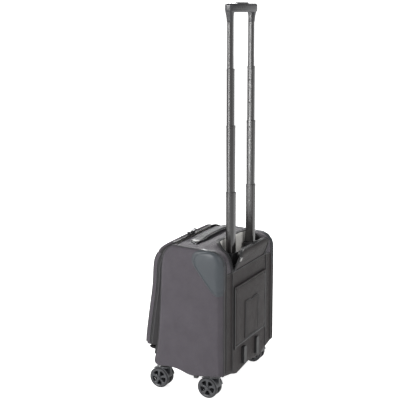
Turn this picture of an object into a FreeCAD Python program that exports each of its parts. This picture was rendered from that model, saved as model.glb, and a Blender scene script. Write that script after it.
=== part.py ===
import FreeCAD, Part
import math
import os

# Rolling laptop case with a four-stage trolley handle and four twin-wheel swivel casters.
# Frame: +Z up, front of the case towards -Y, trolley handle towards +Y, the case's own left
# towards +X, origin on the floor under the middle of the object's box. Millimetres.

V = FreeCAD.Vector
X_AXIS = V(1, 0, 0)
Z_AXIS = V(0, 0, 1)

# ---- driving dimensions of the soft case ----
CASE_HALF = 168.5          # outer face of each side panel
SIDE_THICK = 10.0
REAR_Y = 110.0             # outer face of the back panel
BACK_THICK = 6.0
TOP_REAR_R = 40.0          # rounding between back and top
TOP_Z = 405.0              # top edge above the rear rounding
FRONT_TOP = (-38.0, 410.0)     # where the front opening starts on top
FRONT_FOOT = (-92.0, 89.0)     # where the front opening ends below
GROOVE = [FRONT_TOP, (-60.0, 389.0), (-69.0, 358.0), (-75.0, 256.0), (-87.0, 121.0), FRONT_FOOT]
BOTTOM = [(REAR_Y, 71.0), (61.0, 69.0), (20.0, 63.0), (-6.0, 69.0), (-43.0, 79.0), (-78.0, 77.0)]
BOTTOM.append(FRONT_FOOT)
TRAY_THICK = 6.0
INNER_HALF = CASE_HALF - SIDE_THICK
CLEAR = 0.3                # gap between parts that move past each other
GUARD_PROUD = 1.5

# ---- well behind the rear wall of the main compartment ----
WELL_HALF = 103.0
WELL_FRONT = 57.0          # front edge of the well's mouth
FOLD_Z = 343.0             # fold line under the well's flap
FLAP_HALF = 96.0
FLAP_THICK = 3.4
WALL_Y = (56.0, 60.0)

# ---- trolley handle ----
TUBE_X = 61.7
TUBE_Y = 82.3
TUBE_WALL = 0.8
TUBE_SIZES = [13.8, 16.2, 18.6, 21.0, 23.4]     # outer size of stages 1 to 5, 5 is fixed
JOINT_Z = [0.0, 858.8, 714.8, 541.2, 350.0]     # top of stages 2 to 5, 5 has no collar
COLLAR_H = 6.0
TUBE_OVERLAP = 40.0
BASE_Z = 80.0
GRIP_TOP = 1020.0
GRIP_FOOT = 974.0
GRIP_HALF = 75.0
GRIP_BAR = 22.0
GRIP_DEPTH = 21.0
BUTTON_LEN = 60.0
BUTTON_PROUD = 3.0
LATCH_HOLE_R = 2.2
LATCH_STEPS = [14.0, 34.0, 44.0]                # holes below each collar
SOCKET_TOP = 380.0
BEZEL_Z = 344.0

# ---- casters ----
CASTER_X = 139.5
SWIVEL_Y = {"front": -71.7, "rear": 75.7}
TRAIL = 15.0
WHEEL_R = 28.0
RIM_R = 24.5
WHEEL_W = 12.0
WHEEL_GAP = 5.0            # from the middle of the caster to the inner face of a wheel
AXLE_R = 2.5
BORE_R = 2.55
STEM_R = 4.0
STEM_BORE_R = 4.06
SEAT_R = 18.0
SEAT_Z = 65.0

made = []


def save(name, *solids):
    shape = solids[0] if len(solids) == 1 else Part.makeCompound(list(solids))
    if not shape.isValid():
        raise ValueError("not valid: " + name)
    shape.exportStep("parts/" + name + ".step")
    made.append(name)


def box(x, y, z):
    """Box between three (low, high) pairs."""
    size = [x[1] - x[0], y[1] - y[0], z[1] - z[0]]
    return Part.makeBox(size[0], size[1], size[2], V(x[0], y[0], z[0]))


def rounded(shape, radius, axis=None):
    """Fillets the straight edges along one axis, or every edge."""
    edges = []
    for edge in shape.Edges:
        if axis is None:
            edges.append(edge)
            continue
        run = edge.Vertexes[-1].Point - edge.Vertexes[0].Point
        if run.Length > 1e-6 and abs(run.normalize().dot(axis)) > 0.999:
            edges.append(edge)
    return shape.makeFillet(radius, edges)


def mirror_x(shape):
    return shape.mirror(V(0, 0, 0), X_AXIS)


def yz(points, x):
    return [V(x, y, z) for y, z in points]


def spline(points):
    curve = Part.BSplineCurve()
    curve.interpolate(points)
    return curve.toShape()


def line(a, b):
    return Part.LineSegment(a, b).toShape()


def slab(edges, depth):
    """Extrudes a closed outline along +X."""
    wire = Part.Wire(Part.__sortEdges__(edges))
    return Part.Face(wire).extrude(V(depth, 0, 0))


def band(points, thick, x0, x1):
    """A sheet that follows an open curve in the YZ plane, thick across it and x0 to x1 wide."""
    inner = offset_points(points, thick)
    outer_pts = yz(points, x0)
    inner_pts = yz(inner, x0)
    edges = [spline(outer_pts), spline(inner_pts)]
    edges.append(line(outer_pts[0], inner_pts[0]))
    edges.append(line(outer_pts[-1], inner_pts[-1]))
    return slab(edges, x1 - x0)


def offset_points(points, distance):
    """Moves each point of a curve to the left of its direction of travel."""
    moved = []
    for i, (y, z) in enumerate(points):
        before = points[max(i - 1, 0)]
        after = points[min(i + 1, len(points) - 1)]
        dy, dz = after[0] - before[0], after[1] - before[1]
        length = math.hypot(dy, dz)
        moved.append((y - dz / length * distance, z + dy / length * distance))
    return moved


def arc_points(radius, start, end, count):
    """Points of the rounding between back and top, angles in degrees from +Y."""
    cy, cz = REAR_Y - TOP_REAR_R, TOP_Z - TOP_REAR_R
    points = []
    for i in range(count):
        a = math.radians(start + (end - start) * i / (count - 1))
        points.append((cy + radius * math.cos(a), cz + radius * math.sin(a)))
    return points


# ---- soft case: panels round the main compartment ----

def side_panel():
    x = CASE_HALF - SIDE_THICK
    mid = math.radians(45)
    arc_mid = (REAR_Y - TOP_REAR_R + TOP_REAR_R * math.cos(mid),
               TOP_Z - TOP_REAR_R + TOP_REAR_R * math.sin(mid))
    rear_low, rear_high = V(x, REAR_Y, BOTTOM[0][1]), V(x, REAR_Y, TOP_Z - TOP_REAR_R)
    top_rear = V(x, REAR_Y - TOP_REAR_R, TOP_Z)
    edges = [line(rear_low, rear_high)]
    edges.append(Part.Arc(rear_high, V(x, *arc_mid), top_rear).toShape())
    edges.append(line(top_rear, V(x, *FRONT_TOP)))
    edges.append(spline(yz(GROOVE, x)))
    edges.append(spline(yz(BOTTOM, x)))
    return slab(edges, SIDE_THICK)


def top_panel():
    low, crown, thick = 402.0, 406.5, 4.5
    y0, y1 = FRONT_TOP[0] + 4.0, WALL_Y[0]
    half = INNER_HALF - CLEAR

    def bow(z_edge, z_mid):
        return Part.Arc(V(-half, y0, z_edge), V(0, y0, z_mid), V(half, y0, z_edge)).toShape()

    edges = [bow(low, crown), bow(low - thick, crown - thick)]
    for x in (-half, half):
        edges.append(line(V(x, y0, low), V(x, y0, low - thick)))
    wire = Part.Wire(Part.__sortEdges__(edges))
    return Part.Face(wire).extrude(V(0, y1 - y0, 0))


def rear_shoulder():
    path = [(REAR_Y, FOLD_Z + 1)] + arc_points(TOP_REAR_R, 0, 90, 6) + [(WALL_Y[1] + 1, TOP_Z)]
    return band(path, 4.0, WELL_HALF, INNER_HALF - CLEAR)


def back_panel():
    y0 = REAR_Y - BACK_THICK
    half = INNER_HALF - CLEAR
    outline = [(-half, 73), (-105, 71), (-75, 62), (-48, 60), (0, 63)]
    outline = outline + [(-x, z) for x, z in reversed(outline[:-1])]
    low = [V(x, y0, z) for x, z in outline]
    edges = [spline(low)]
    corners = [low[-1], V(half, y0, FOLD_Z), V(-half, y0, FOLD_Z), low[0]]
    edges += [line(corners[i], corners[i + 1]) for i in range(3)]
    wire = Part.Wire(Part.__sortEdges__(edges))
    return Part.Face(wire).extrude(V(0, BACK_THICK, 0))


def bottom_tray():
    half = INNER_HALF - CLEAR
    path = [(y, z) for y, z in BOTTOM[:-1]]
    path[0] = (REAR_Y - BACK_THICK - CLEAR, path[0][1])
    path.append((FRONT_FOOT[0] + 4.0, FRONT_FOOT[1] - 4.0))
    tray = band(path, -TRAY_THICK, -half, half)
    for x, y in caster_places():
        tray = tray.cut(Part.makeCylinder(SEAT_R + 0.1, 50, V(x, y, 50)))
    return tray


def corner_guard():
    x = CASE_HALF
    outline = [(29, 374), (37, 392), (64, 398), (88, 388), (102, 366), (106, 330), (105, 297), (96, 292)]
    points = yz(outline, x)
    curve = Part.BSplineCurve()
    curve.interpolate(points[:-2])
    edges = [curve.toShape(), line(points[-3], points[-2])]
    edges += [line(points[-2], points[-1]), line(points[-1], points[0])]
    return slab(edges, GUARD_PROUD)


def skid_rails():
    rails = []
    for x in (-40.0, 40.0):
        rail = box((x - 8, x + 8), (REAR_Y, REAR_Y + 8), (66, 116))
        rails.append(rounded(rail, 3.5, V(0, 1, 0)))
    nub = box((INNER_HALF + 1, CASE_HALF - 1), (27, 39), (55, 62.2))
    nub = rounded(nub, 2, V(1, 0, 0))
    return rails + [nub, mirror_x(nub)]


def zip_u(path, thick, x0, x1):
    side = band(path, thick, x0, x1)
    return [side, mirror_x(side)]


def main_zipper():
    path = offset_points(GROOVE[:-1], -0.5)
    parts = zip_u(path, -5.0, DOOR_HALF + 0.6, INNER_HALF - CLEAR)
    y0, z0 = FRONT_TOP
    parts.append(box((-DOOR_HALF, DOOR_HALF), (y0 + 0.5, y0 + 3.7), (z0 - 8, z0 - 5)))
    return parts + [zip_slider(x) for x, _ in PULLS]


def flap_zipper():
    path = [(REAR_Y, FOLD_Z + 3)] + arc_points(TOP_REAR_R, 0, 90, 6) + [(WELL_FRONT + 4, TOP_Z)]
    parts = zip_u(path, 1.4, WELL_HALF - 4.0, WELL_HALF - CLEAR)
    front = (WALL_Y[1] + 0.3, WALL_Y[1] + 3.3)
    parts.append(box((-WELL_HALF + 5, WELL_HALF - 5), front, (TOP_Z - 3, TOP_Z - 1.6)))
    return parts


# ---- front door, which carries the organiser panel ----
DOOR_HALF = 155.0
FACE = [(-50, 413.0), (-65, 404.0), (-81, 391.0), (-90, 375.0), (-97, 357.0), (-102, 301.0),
        (-110, 244.0), (-119, 186.0), (-125, 142.0), (-126, 121.0)]
FACE_THICK = 4.0
TOP_SPLIT = 3              # the front panel ends here, above it the door's own gusset goes on
PULLS = [(46.0, -1), (63.0, 1)]     # x of each slider and the way its pull lies
PULL_Y = -39.5
PULL_Z = 419.4
PIN_R = 0.8


def door_divider():
    path = offset_points([(-47.5, 401.5)] + GROOVE[1:-1], -2.0)
    return band(path, -3.0, -DOOR_HALF + 4, DOOR_HALF - 4)


def door_gussets():
    x = DOOR_HALF - 3.0
    inner = offset_points(GROOVE[:-1], -1.5)
    foot = (-114.0, 107.0)
    points_in, points_out = yz(inner, x), yz(FACE, x)
    edges = [spline(points_in), spline(points_out), line(points_in[0], points_out[0])]
    edges.append(line(points_in[-1], V(x, foot[0], foot[1])))
    edges.append(line(V(x, foot[0], foot[1]), points_out[-1]))
    side = slab(edges, 3.0)
    front_cut = band(offset_points(FACE[TOP_SPLIT - 1:], -1), FACE_THICK + 1.6, x - 1, x + 4)
    side = side.cut(front_cut)
    top = band(FACE[:TOP_SPLIT + 1], FACE_THICK, -x + CLEAR, x - CLEAR)
    bottom = box((-x + CLEAR, x - CLEAR), (-112.0, -93.0), (108.5, 111.5))
    return [side, mirror_x(side), top, bottom]


def front_panel():
    (y, z), rest = FACE[TOP_SPLIT], FACE[TOP_SPLIT + 1:]
    return band([(y, z - 0.8)] + rest, FACE_THICK, -DOOR_HALF, DOOR_HALF)


def front_zipper():
    path = offset_points(FACE[TOP_SPLIT:], 6.5)
    side = band(path, 4.0, DOOR_HALF, DOOR_HALF + 0.5)
    return [side, mirror_x(side)]


def zip_pull(x, way):
    """A pull tab with a lock hole, hinged by its eye on the slider's pin."""
    tab = rounded(box((0, 17), (-4.5, 4.5), (-1.0, 1.0)), 3.0, Z_AXIS)
    tab = tab.cut(box((9.5, 14.5), (-2, 2), (-2, 2)))
    tab.rotate(V(0, 0, 0), V(0, 1, 0), -16)
    tab = tab.fuse(Part.makeCylinder(1.7, 9, V(0, -4.5, 0), V(0, 1, 0)))
    tab = tab.cut(Part.makeCylinder(PIN_R + 0.06, 12, V(0, -6, 0), V(0, 1, 0)))
    if way < 0:
        tab = mirror_x(tab)
    tab.translate(V(x, PULL_Y, PULL_Z))
    return tab


def zip_slider(x):
    """Slider body with two ears that hold the pull's pin."""
    top = PULL_Z - 2.0
    body = rounded(box((x - 6, x + 6), (PULL_Y - 5.6, PULL_Y + 5.6), (top - 4, top)), 1.2)
    pin = Part.makeCylinder(PIN_R, 11.2, V(x, PULL_Y - 5.6, PULL_Z), V(0, 1, 0))
    body = body.fuse(pin)
    for y in (PULL_Y - 5.6, PULL_Y + 4.8):
        body = body.fuse(box((x - 1.4, x + 1.4), (y, y + 0.8), (top - 1, PULL_Z + 1.4)))
    return body


# ---- back of the case ----

def rear_sleeve():
    panel = box((-97, 97), (REAR_Y + CLEAR, REAR_Y + 6), (128, 295))
    return rounded(panel, 2.4)


def id_pocket():
    pad = rounded(box((-42, 42), (REAR_Y + 6.1, REAR_Y + 7.9), (135, 244)), 0.7)
    notch = box((-9, 9), (REAR_Y + 5, REAR_Y + 12), (238, 246))
    return pad.cut(notch)


def rear_flap():
    """Curved flap that stands open behind the tubes, its free edge curling back."""
    path = [(REAR_Y + 1.2, FOLD_Z + 1.5), (REAR_Y + 9.5, FOLD_Z + 22), (REAR_Y + 15.9, FOLD_Z + 38)]
    path += [(REAR_Y + 13.5, FOLD_Z + 46), (REAR_Y + 7.0, FOLD_Z + 49)]
    sheet = band(path, FLAP_THICK, -FLAP_HALF, FLAP_HALF)
    outline = box((-FLAP_HALF, FLAP_HALF), (0, 200), (FOLD_Z - 5, FOLD_Z + 60))
    corners = []
    for edge in outline.Edges:
        a, b = edge.Vertexes[0].Point, edge.Vertexes[-1].Point
        if abs(a.y - b.y) > 100 and a.z > FOLD_Z + 20:
            corners.append(edge)
    return sheet.common(outline.makeFillet(34, corners))


SLIDER_LEAN = 20.0                   # leans back with the flap, degrees


def flap_slider():
    slider = rounded(box((-4, 4), (-2.2, 2.2), (-6, 6)), 1.4)
    slider.rotate(V(0, 0, 0), V(1, 0, 0), -SLIDER_LEAN)
    slider.translate(V(90.5, REAR_Y + 16.9, FOLD_Z + 30.0))
    return slider


# ---- main compartment ----

def rear_wall():
    return box((-INNER_HALF + CLEAR, INNER_HALF - CLEAR), WALL_Y, (84, 400))


def laptop_sleeve():
    """Padded pocket in front of the rear wall, open at the top: front pad, two sides and a base."""
    half, y0, y1, z0, z1 = 150.0, 22.0, WALL_Y[0], 92.0, 330.0
    front = rounded(box((-half, half), (y0, y0 + 6), (z0, z1)), 2.4)
    side = box((half - 3, half), (y0 + 6, y1), (z0, z1 - 10))
    base = box((-half + 3, half - 3), (y0 + 6, y1), (z0, z0 + 4))
    return [front, side, mirror_x(side), base]


# ---- carry handle on top ----
HANDLE_HALF = 98.0
HANDLE_W = 28.0


def carry_handle():
    def arch(z_end, z_mid):
        y = -HANDLE_W / 2
        return Part.Arc(V(-HANDLE_HALF, y, z_end), V(0, y, z_mid), V(HANDLE_HALF, y, z_end)).toShape()

    edges = [arch(412.0, 422.0), arch(406.0, 413.8)]
    for x in (-HANDLE_HALF, HANDLE_HALF):
        edges.append(line(V(x, -HANDLE_W / 2, 412.0), V(x, -HANDLE_W / 2, 406.0)))
    wire = Part.Wire(Part.__sortEdges__(edges))
    return Part.Face(wire).extrude(V(0, HANDLE_W, 0))


def handle_anchor():
    plate = rounded(box((99.5, 119), (-13, 13), (404.2, 408.5)), 4.0, Z_AXIS)
    boss = Part.makeCylinder(5.5, 3.0, V(110, 0, 408.0))
    return plate.fuse(boss).cut(top_panel())


# ---- trolley handle ----

def rounded_bar(size, z0, z1, radius):
    bar = box((-size / 2, size / 2), (-size / 2, size / 2), (z0, z1))
    return rounded(bar, radius, Z_AXIS)


def tube(stage, z0, z1):
    size = TUBE_SIZES[stage - 1]
    outer = rounded_bar(size, z0, z1, 2.6)
    return outer.cut(rounded_bar(size - 2 * TUBE_WALL, z0 - 1, z1 + 1, 1.8))


def latch_holes(top):
    holes = []
    for step in LATCH_STEPS:
        hole = Part.makeCylinder(LATCH_HOLE_R, 40, V(-40, 0, top - step), X_AXIS)
        holes.append(hole)
    return holes


def pair(shape):
    """The same shape on both sides of the handle, its -X face turned to the middle."""
    right = shape.copy()
    right.translate(V(TUBE_X, TUBE_Y, 0))
    return [right, mirror_x(right)]


def stage_tubes(stage):
    top = GRIP_FOOT + 16.0 if stage == 1 else JOINT_Z[stage - 1] - COLLAR_H
    bottom = JOINT_Z[stage] - TUBE_OVERLAP
    shape = tube(stage, bottom, top)
    if stage > 1:
        for hole in latch_holes(JOINT_Z[stage - 1]):
            shape = shape.cut(hole)
    else:
        shape = shape.cut(Part.makeCylinder(LATCH_HOLE_R, 40, V(-40, 0, GRIP_FOOT - 60), X_AXIS))
    return pair(shape)


def collars(stage):
    size = TUBE_SIZES[stage - 1]
    top = JOINT_Z[stage - 1]
    ring = rounded_bar(size + 1.6, top - COLLAR_H, top, 3.2)
    ring = ring.makeFillet(0.35, [e for e in ring.Edges if e.BoundBox.ZMin > top - 0.01])
    return pair(ring.cut(rounded_bar(size - 2 * TUBE_WALL, top - COLLAR_H - 1, top + 1, 1.8)))


def outer_tubes():
    return pair(tube(5, BASE_Z, JOINT_Z[4]))


def grip():
    leg, flare_z = 9.3, GRIP_FOOT + 14.0
    inner, outer = TUBE_X - leg, TUBE_X + leg
    y0 = TUBE_Y - GRIP_DEPTH / 2
    under = GRIP_TOP - GRIP_BAR
    right = [V(inner, y0, GRIP_FOOT), V(outer, y0, GRIP_FOOT), V(outer, y0, flare_z),
             V(GRIP_HALF, y0, under + 4), V(GRIP_HALF, y0, GRIP_TOP)]
    left = [V(-p.x, p.y, p.z) for p in reversed(right)]
    hollow = [V(-46, y0, under), V(46, y0, under), V(inner, y0, flare_z)]
    points = right + left + [V(-inner, y0, flare_z)] + hollow + [right[0]]
    body = Part.Face(Part.makePolygon(points)).extrude(V(0, GRIP_DEPTH, 0))
    top_edges = [e for e in body.Edges if e.BoundBox.ZMin > under + 3 and e.BoundBox.YLength > 5]
    body = body.makeFillet(9.0, top_edges)
    long_edges = [e for e in body.Edges if e.BoundBox.YLength < 0.01 and e.BoundBox.ZMin > GRIP_FOOT + 1]
    body = body.makeFillet(3.0, long_edges)
    button_space = BUTTON_LEN / 2 + 0.5
    pocket = box((-button_space, button_space), (TUBE_Y - 7, TUBE_Y + 7), (GRIP_TOP - 10, GRIP_TOP + 5))
    channel = box((-TUBE_X - 3.5, TUBE_X + 3.5), (TUBE_Y - 4, TUBE_Y + 4), (1001.5, 1010.2))
    body = body.cut(pocket).cut(channel)
    socket = rounded_bar(TUBE_SIZES[0], GRIP_FOOT - 1, GRIP_FOOT + 16, 2.6)
    shaft = Part.makeCylinder(3.0, 30, V(0, 0, GRIP_FOOT + 10))
    for cutter in pair(socket) + pair(shaft):
        body = body.cut(cutter)
    return body


def release_button():
    half = BUTTON_LEN / 2
    z0, z1 = GRIP_TOP - 7, GRIP_TOP + BUTTON_PROUD
    button = rounded(box((-half, half), (TUBE_Y - 6.5, TUBE_Y + 6.5), (z0, z1)), 5.0, Z_AXIS)
    return button.makeFillet(1.5, [e for e in button.Edges if e.BoundBox.ZMin > z1 - 0.01])


def release_rods():
    yoke = box((-TUBE_X - 2, TUBE_X + 2), (TUBE_Y - 3, TUBE_Y + 3), (1005, 1009.5))
    post = box((-10, 10), (TUBE_Y - 3, TUBE_Y + 3), (1009, GRIP_TOP - 7))
    yoke = yoke.fuse(post)
    for rod in pair(Part.makeCylinder(1.5, 178, V(0, 0, 829))):
        yoke = yoke.fuse(rod)
    return yoke


def handle_bezel():
    deep = (WALL_Y[1] + 3, REAR_Y - BACK_THICK - 0.5)
    plate = rounded(box((-88, 88), deep, (BEZEL_Z, JOINT_Z[4])), 6, Z_AXIS)
    bridge = rounded(box((-44, 44), (TUBE_Y - 10, TUBE_Y + 10), (JOINT_Z[4] - 2, 366)), 6, V(1, 0, 0))
    plate = plate.fuse(bridge)
    for side in (-1, 1):
        x = side * TUBE_X
        socket = box((x - 17, x + 17), (TUBE_Y - 15, TUBE_Y + 15), (BEZEL_Z, SOCKET_TOP))
        plate = plate.fuse(rounded(socket, 5, Z_AXIS))
    for side in (-1, 1):
        x = side * TUBE_X
        bore = rounded_bar(25.6, JOINT_Z[4], SOCKET_TOP + 1, 3.4)
        hole = rounded_bar(TUBE_SIZES[4], BEZEL_Z - 1, JOINT_Z[4], 2.6)
        for cutter in (bore, hole):
            cutter.translate(V(x, TUBE_Y, 0))
            plate = plate.cut(cutter)
    return plate.removeSplitter()


def handle_base():
    """Shoe that holds both fixed tubes and is screwed to the bottom tray."""
    shoe = rounded(box((-84, 84), (TUBE_Y - 14, TUBE_Y + 14), (73, 98)), 5, Z_AXIS).cut(bottom_tray())
    for x in (-TUBE_X, TUBE_X):
        pocket = rounded_bar(TUBE_SIZES[4], BASE_Z, 99, 2.6)
        pocket.translate(V(x, TUBE_Y, 0))
        shoe = shoe.cut(pocket)
    return shoe


# ---- casters ----

def caster_places():
    return [(side * CASTER_X, SWIVEL_Y[row]) for row in ("front", "rear") for side in (-1, 1)]


def housing():
    """Round seat let into the tray, with a boss round the swivel bore."""
    seat = Part.makeCylinder(SEAT_R, 16.0, V(0, 0, SEAT_Z))
    seat = seat.makeFillet(2.0, [e for e in seat.Edges if e.BoundBox.ZMax < SEAT_Z + 0.01])
    boss = Part.makeCylinder(8.0, 3.6, V(0, 0, SEAT_Z - 2.6))
    bore = Part.makeCylinder(STEM_BORE_R, 14.6, V(0, 0, SEAT_Z - 3.0))
    return seat.fuse(boss).cut(bore)


def housing_screws(x, y):
    screws = []
    for i in range(4):
        a = math.radians(45 + 90 * i)
        place = V(x + 12.8 * math.cos(a), y + 12.8 * math.sin(a), SEAT_Z - 1.3)
        screws.append(Part.makeCylinder(2.2, 1.3, place))
    return screws


def fork():
    """Web between the twin wheels, fender over them, swivel plate and stem; origin on the swivel."""
    cy = -TRAIL
    disc = Part.makeCylinder(17, 3.6, V(0, 0, 58.4))
    stem = Part.makeCylinder(STEM_R, 14.0, V(0, 0, 62.0))
    web = Part.makeCylinder(22.0, 7.0, V(-3.5, cy, WHEEL_R), X_AXIS)
    neck = box((-3.5, 3.5), (cy, 14), (WHEEL_R + 4, 59))
    ring = Part.makeCylinder(31.6, 32.0, V(-16, cy, WHEEL_R), X_AXIS)
    ring = ring.cut(Part.makeCylinder(29.2, 34.0, V(-17, cy, WHEEL_R), X_AXIS))
    # the fender covers the top and the trailing side of the wheels
    sector = Part.Face(Part.makePolygon([
        V(-20, cy, WHEEL_R), V(-20, cy - 30, WHEEL_R + 50), V(-20, cy + 60, WHEEL_R + 50),
        V(-20, cy + 60, WHEEL_R + 12), V(-20, cy, WHEEL_R)])).extrude(V(40, 0, 0))
    fender = ring.common(sector)
    spine = Part.makeCylinder(30.4, 7.0, V(-3.5, cy, WHEEL_R), X_AXIS).common(sector)
    body = disc.fuse(stem).fuse(web).fuse(neck).fuse(fender).fuse(spine)
    body = body.cut(Part.makeCylinder(AXLE_R, 40, V(-20, cy, WHEEL_R), X_AXIS))
    return body.removeSplitter()


def axle():
    reach = WHEEL_GAP + WHEEL_W + CLEAR
    rod = Part.makeCylinder(AXLE_R, 2 * reach, V(-reach, -TRAIL, WHEEL_R), X_AXIS)
    for side in (-1, 1):
        start = reach if side > 0 else -reach - 1.4
        cap = Part.makeCylinder(4.2, 1.4, V(start, -TRAIL, WHEEL_R), X_AXIS)
        rod = rod.fuse(cap)
    return rod


def wheel(side):
    x0 = WHEEL_GAP if side > 0 else -WHEEL_GAP - WHEEL_W
    centre = V(x0, -TRAIL, WHEEL_R)
    rim = Part.makeCylinder(RIM_R, WHEEL_W, centre, X_AXIS)
    rim = rim.cut(Part.makeCylinder(19.5, WHEEL_W + 2, centre - V(1, 0, 0), X_AXIS))
    hub = Part.makeCylinder(7.0, WHEEL_W, centre, X_AXIS)
    body = rim.fuse(hub)
    for i in range(5):
        spoke = box((x0 + 1.5, x0 + WHEEL_W - 1.5), (-2.8, 2.8), (5.0, 20.5))
        spoke.rotate(V(0, 0, 0), X_AXIS, 72 * i)
        spoke.translate(V(0, -TRAIL, WHEEL_R))
        body = body.fuse(spoke)
    bore = Part.makeCylinder(BORE_R, WHEEL_W + 2, centre - V(1, 0, 0), X_AXIS)
    return body.cut(bore).removeSplitter()


def tyre(side):
    x0 = WHEEL_GAP if side > 0 else -WHEEL_GAP - WHEEL_W
    centre = V(x0, -TRAIL, WHEEL_R)
    ring = Part.makeCylinder(WHEEL_R, WHEEL_W, centre, X_AXIS)
    ring = ring.makeFillet(2.2, [e for e in ring.Edges if e.BoundBox.XLength < 0.01])
    return ring.cut(Part.makeCylinder(RIM_R, WHEEL_W + 2, centre - V(1, 0, 0), X_AXIS))


def placed(shape, x, y):
    copy = shape.copy()
    copy.translate(V(x, y, 0))
    return copy


def build_case():
    side = side_panel()
    save("side_panel_left", side)
    save("side_panel_right", mirror_x(side))
    save("top_panel", top_panel())
    shoulder = rear_shoulder()
    save("rear_shoulders", shoulder, mirror_x(shoulder))
    save("back_panel", back_panel())
    save("bottom_tray", bottom_tray())
    guard = corner_guard()
    save("corner_guards", guard, mirror_x(guard))
    save("skid_guards", *skid_rails())
    save("rear_wall", rear_wall())
    save("laptop_sleeve", *laptop_sleeve())
    save("rear_sleeve", rear_sleeve())
    save("id_pocket", id_pocket())
    save("rear_flap", rear_flap())
    save("main_zipper", *main_zipper())
    save("flap_zipper", *flap_zipper())
    save("flap_zip_slider", flap_slider())
    save("carry_handle", carry_handle())
    anchor = handle_anchor()
    save("handle_anchors", anchor, mirror_x(anchor))


def build_door():
    save("door_divider", door_divider())
    save("door_gussets", *door_gussets())
    save("front_panel", front_panel())
    save("front_zipper", *front_zipper())
    for name, (x, way) in zip(("left", "right"), PULLS):
        save("main_zip_pull_" + name, zip_pull(x, way))


def build_trolley():
    for stage in (1, 2, 3, 4):
        save("stage_%d_tubes" % stage, *stage_tubes(stage))
    for stage in (2, 3, 4):
        save("stage_%d_collars" % stage, *collars(stage))
    save("outer_tubes", *outer_tubes())
    save("grip", grip())
    save("release_button", release_button())
    save("release_rods", release_rods())
    save("handle_bezel", handle_bezel())
    save("handle_base", handle_base())


def build_casters():
    names = ["front_right", "front_left", "rear_right", "rear_left"]
    places = caster_places()
    save("caster_housings", *[placed(housing(), x, y) for x, y in places])
    screws = []
    for x, y in places:
        screws += housing_screws(x, y)
    save("housing_screws", *screws)
    for name, (x, y) in zip(names, places):
        save("fork_" + name, placed(fork(), x, y), placed(axle(), x, y))
        for side in (-1, 1):
            place = "outer" if side * x > 0 else "inner"
            save("wheel_%s_%s" % (name, place), placed(wheel(side), x, y))
            save("tyre_%s_%s" % (name, place), placed(tyre(side), x, y))


os.makedirs("parts", exist_ok=True)
build_case()
build_door()
build_trolley()
build_casters()
print("ok", len(made), "nodes")
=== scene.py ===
import math

import bmesh
import bpy
import numpy as np
from mathutils import Matrix, Vector


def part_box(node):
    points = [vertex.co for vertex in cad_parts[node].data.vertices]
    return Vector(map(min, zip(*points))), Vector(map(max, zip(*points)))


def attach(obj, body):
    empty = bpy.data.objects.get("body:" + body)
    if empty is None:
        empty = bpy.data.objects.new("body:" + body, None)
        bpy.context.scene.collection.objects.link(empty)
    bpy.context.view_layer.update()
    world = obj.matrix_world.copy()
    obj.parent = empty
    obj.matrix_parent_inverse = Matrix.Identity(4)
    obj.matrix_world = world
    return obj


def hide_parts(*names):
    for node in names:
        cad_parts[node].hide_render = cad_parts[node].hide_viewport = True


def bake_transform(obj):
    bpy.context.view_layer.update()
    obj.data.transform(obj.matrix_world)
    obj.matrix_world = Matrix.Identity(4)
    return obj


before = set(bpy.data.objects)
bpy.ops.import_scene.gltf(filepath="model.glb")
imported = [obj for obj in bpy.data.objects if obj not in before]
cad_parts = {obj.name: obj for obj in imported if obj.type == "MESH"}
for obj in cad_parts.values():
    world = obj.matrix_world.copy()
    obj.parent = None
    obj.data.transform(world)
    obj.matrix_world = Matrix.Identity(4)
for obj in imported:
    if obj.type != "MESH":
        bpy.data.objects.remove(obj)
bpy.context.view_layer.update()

# Lengths are millimetres in the CAD frame, and meshes are scaled to metres when they are made.
MM = 0.001


def node_box(node):
    """Lowest and highest corner of a CAD node, in millimetres."""
    low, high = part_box(node)
    return np.array(low) / MM, np.array(high) / MM


# ---- driving dimensions, from the frame ----
panel_high = node_box("side_panel_left")[1]
SIDE_X = panel_high[0] - 0.5         # flat of the side face
REAR_Y = panel_high[1]
EDGE_R = 13.0                        # rounding of the side panels
SEAM_X = SIDE_X - EDGE_R
TOP_REAR_R = 40.0                    # rounding of the sides' upper rear corner
TOP_Z = 405.0
# Outlines seen from the side, as (y, z): the groove between the door and the case, the underside and
# the front of the door.
FRONT_TOP = (-38.0, 410.0)
FRONT_FOOT = (-96.0, 78.5)
GROOVE = [FRONT_TOP, (-60, 389), (-69, 358), (-75, 256), (-87, 121), FRONT_FOOT]
BOTTOM = [FRONT_FOOT, (-88, 69), (-50, 71), (-13, 66.5), (17, 59), (58, 64), (REAR_Y, 68)]
FACE = [(-50, 413), (-65, 404), (-81, 391), (-90, 375), (-97, 357), (-102, 301),
        (-110, 244), (-119, 186), (-125, 142), (-126, 121)]
DOOR_X = 152.0
FOLD_Z = 343.0                       # height of the flap's fold
WELL_X = 99.0                        # half width of the well's mouth
WELL_FRONT_Y = 60.0
WELL_R = 22.0                        # rounding of the mouth's two front corners
FLAP_X = 95.0                        # half width of the flap
FLAP_R = 34.0                        # rounding of the flap's two upper corners
TUBE_X, TUBE_Y = 61.7, 82.3          # middle of a handle tube, at plus and minus TUBE_X
SAG_SIDE = (84.0, 156.0)             # the far top edge sags between these distances from the middle
SAG_HEIGHT = (290.0, 395.0)          # from nothing at the first height to all of it at the second
SAG_REAR, SAG_FRONT = 18.0, 27.0     # how deep, behind and in front
SAG_BELOW = 425.0                    # only the drawn-out handle stands above this


# ---- mesh helpers ----

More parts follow.
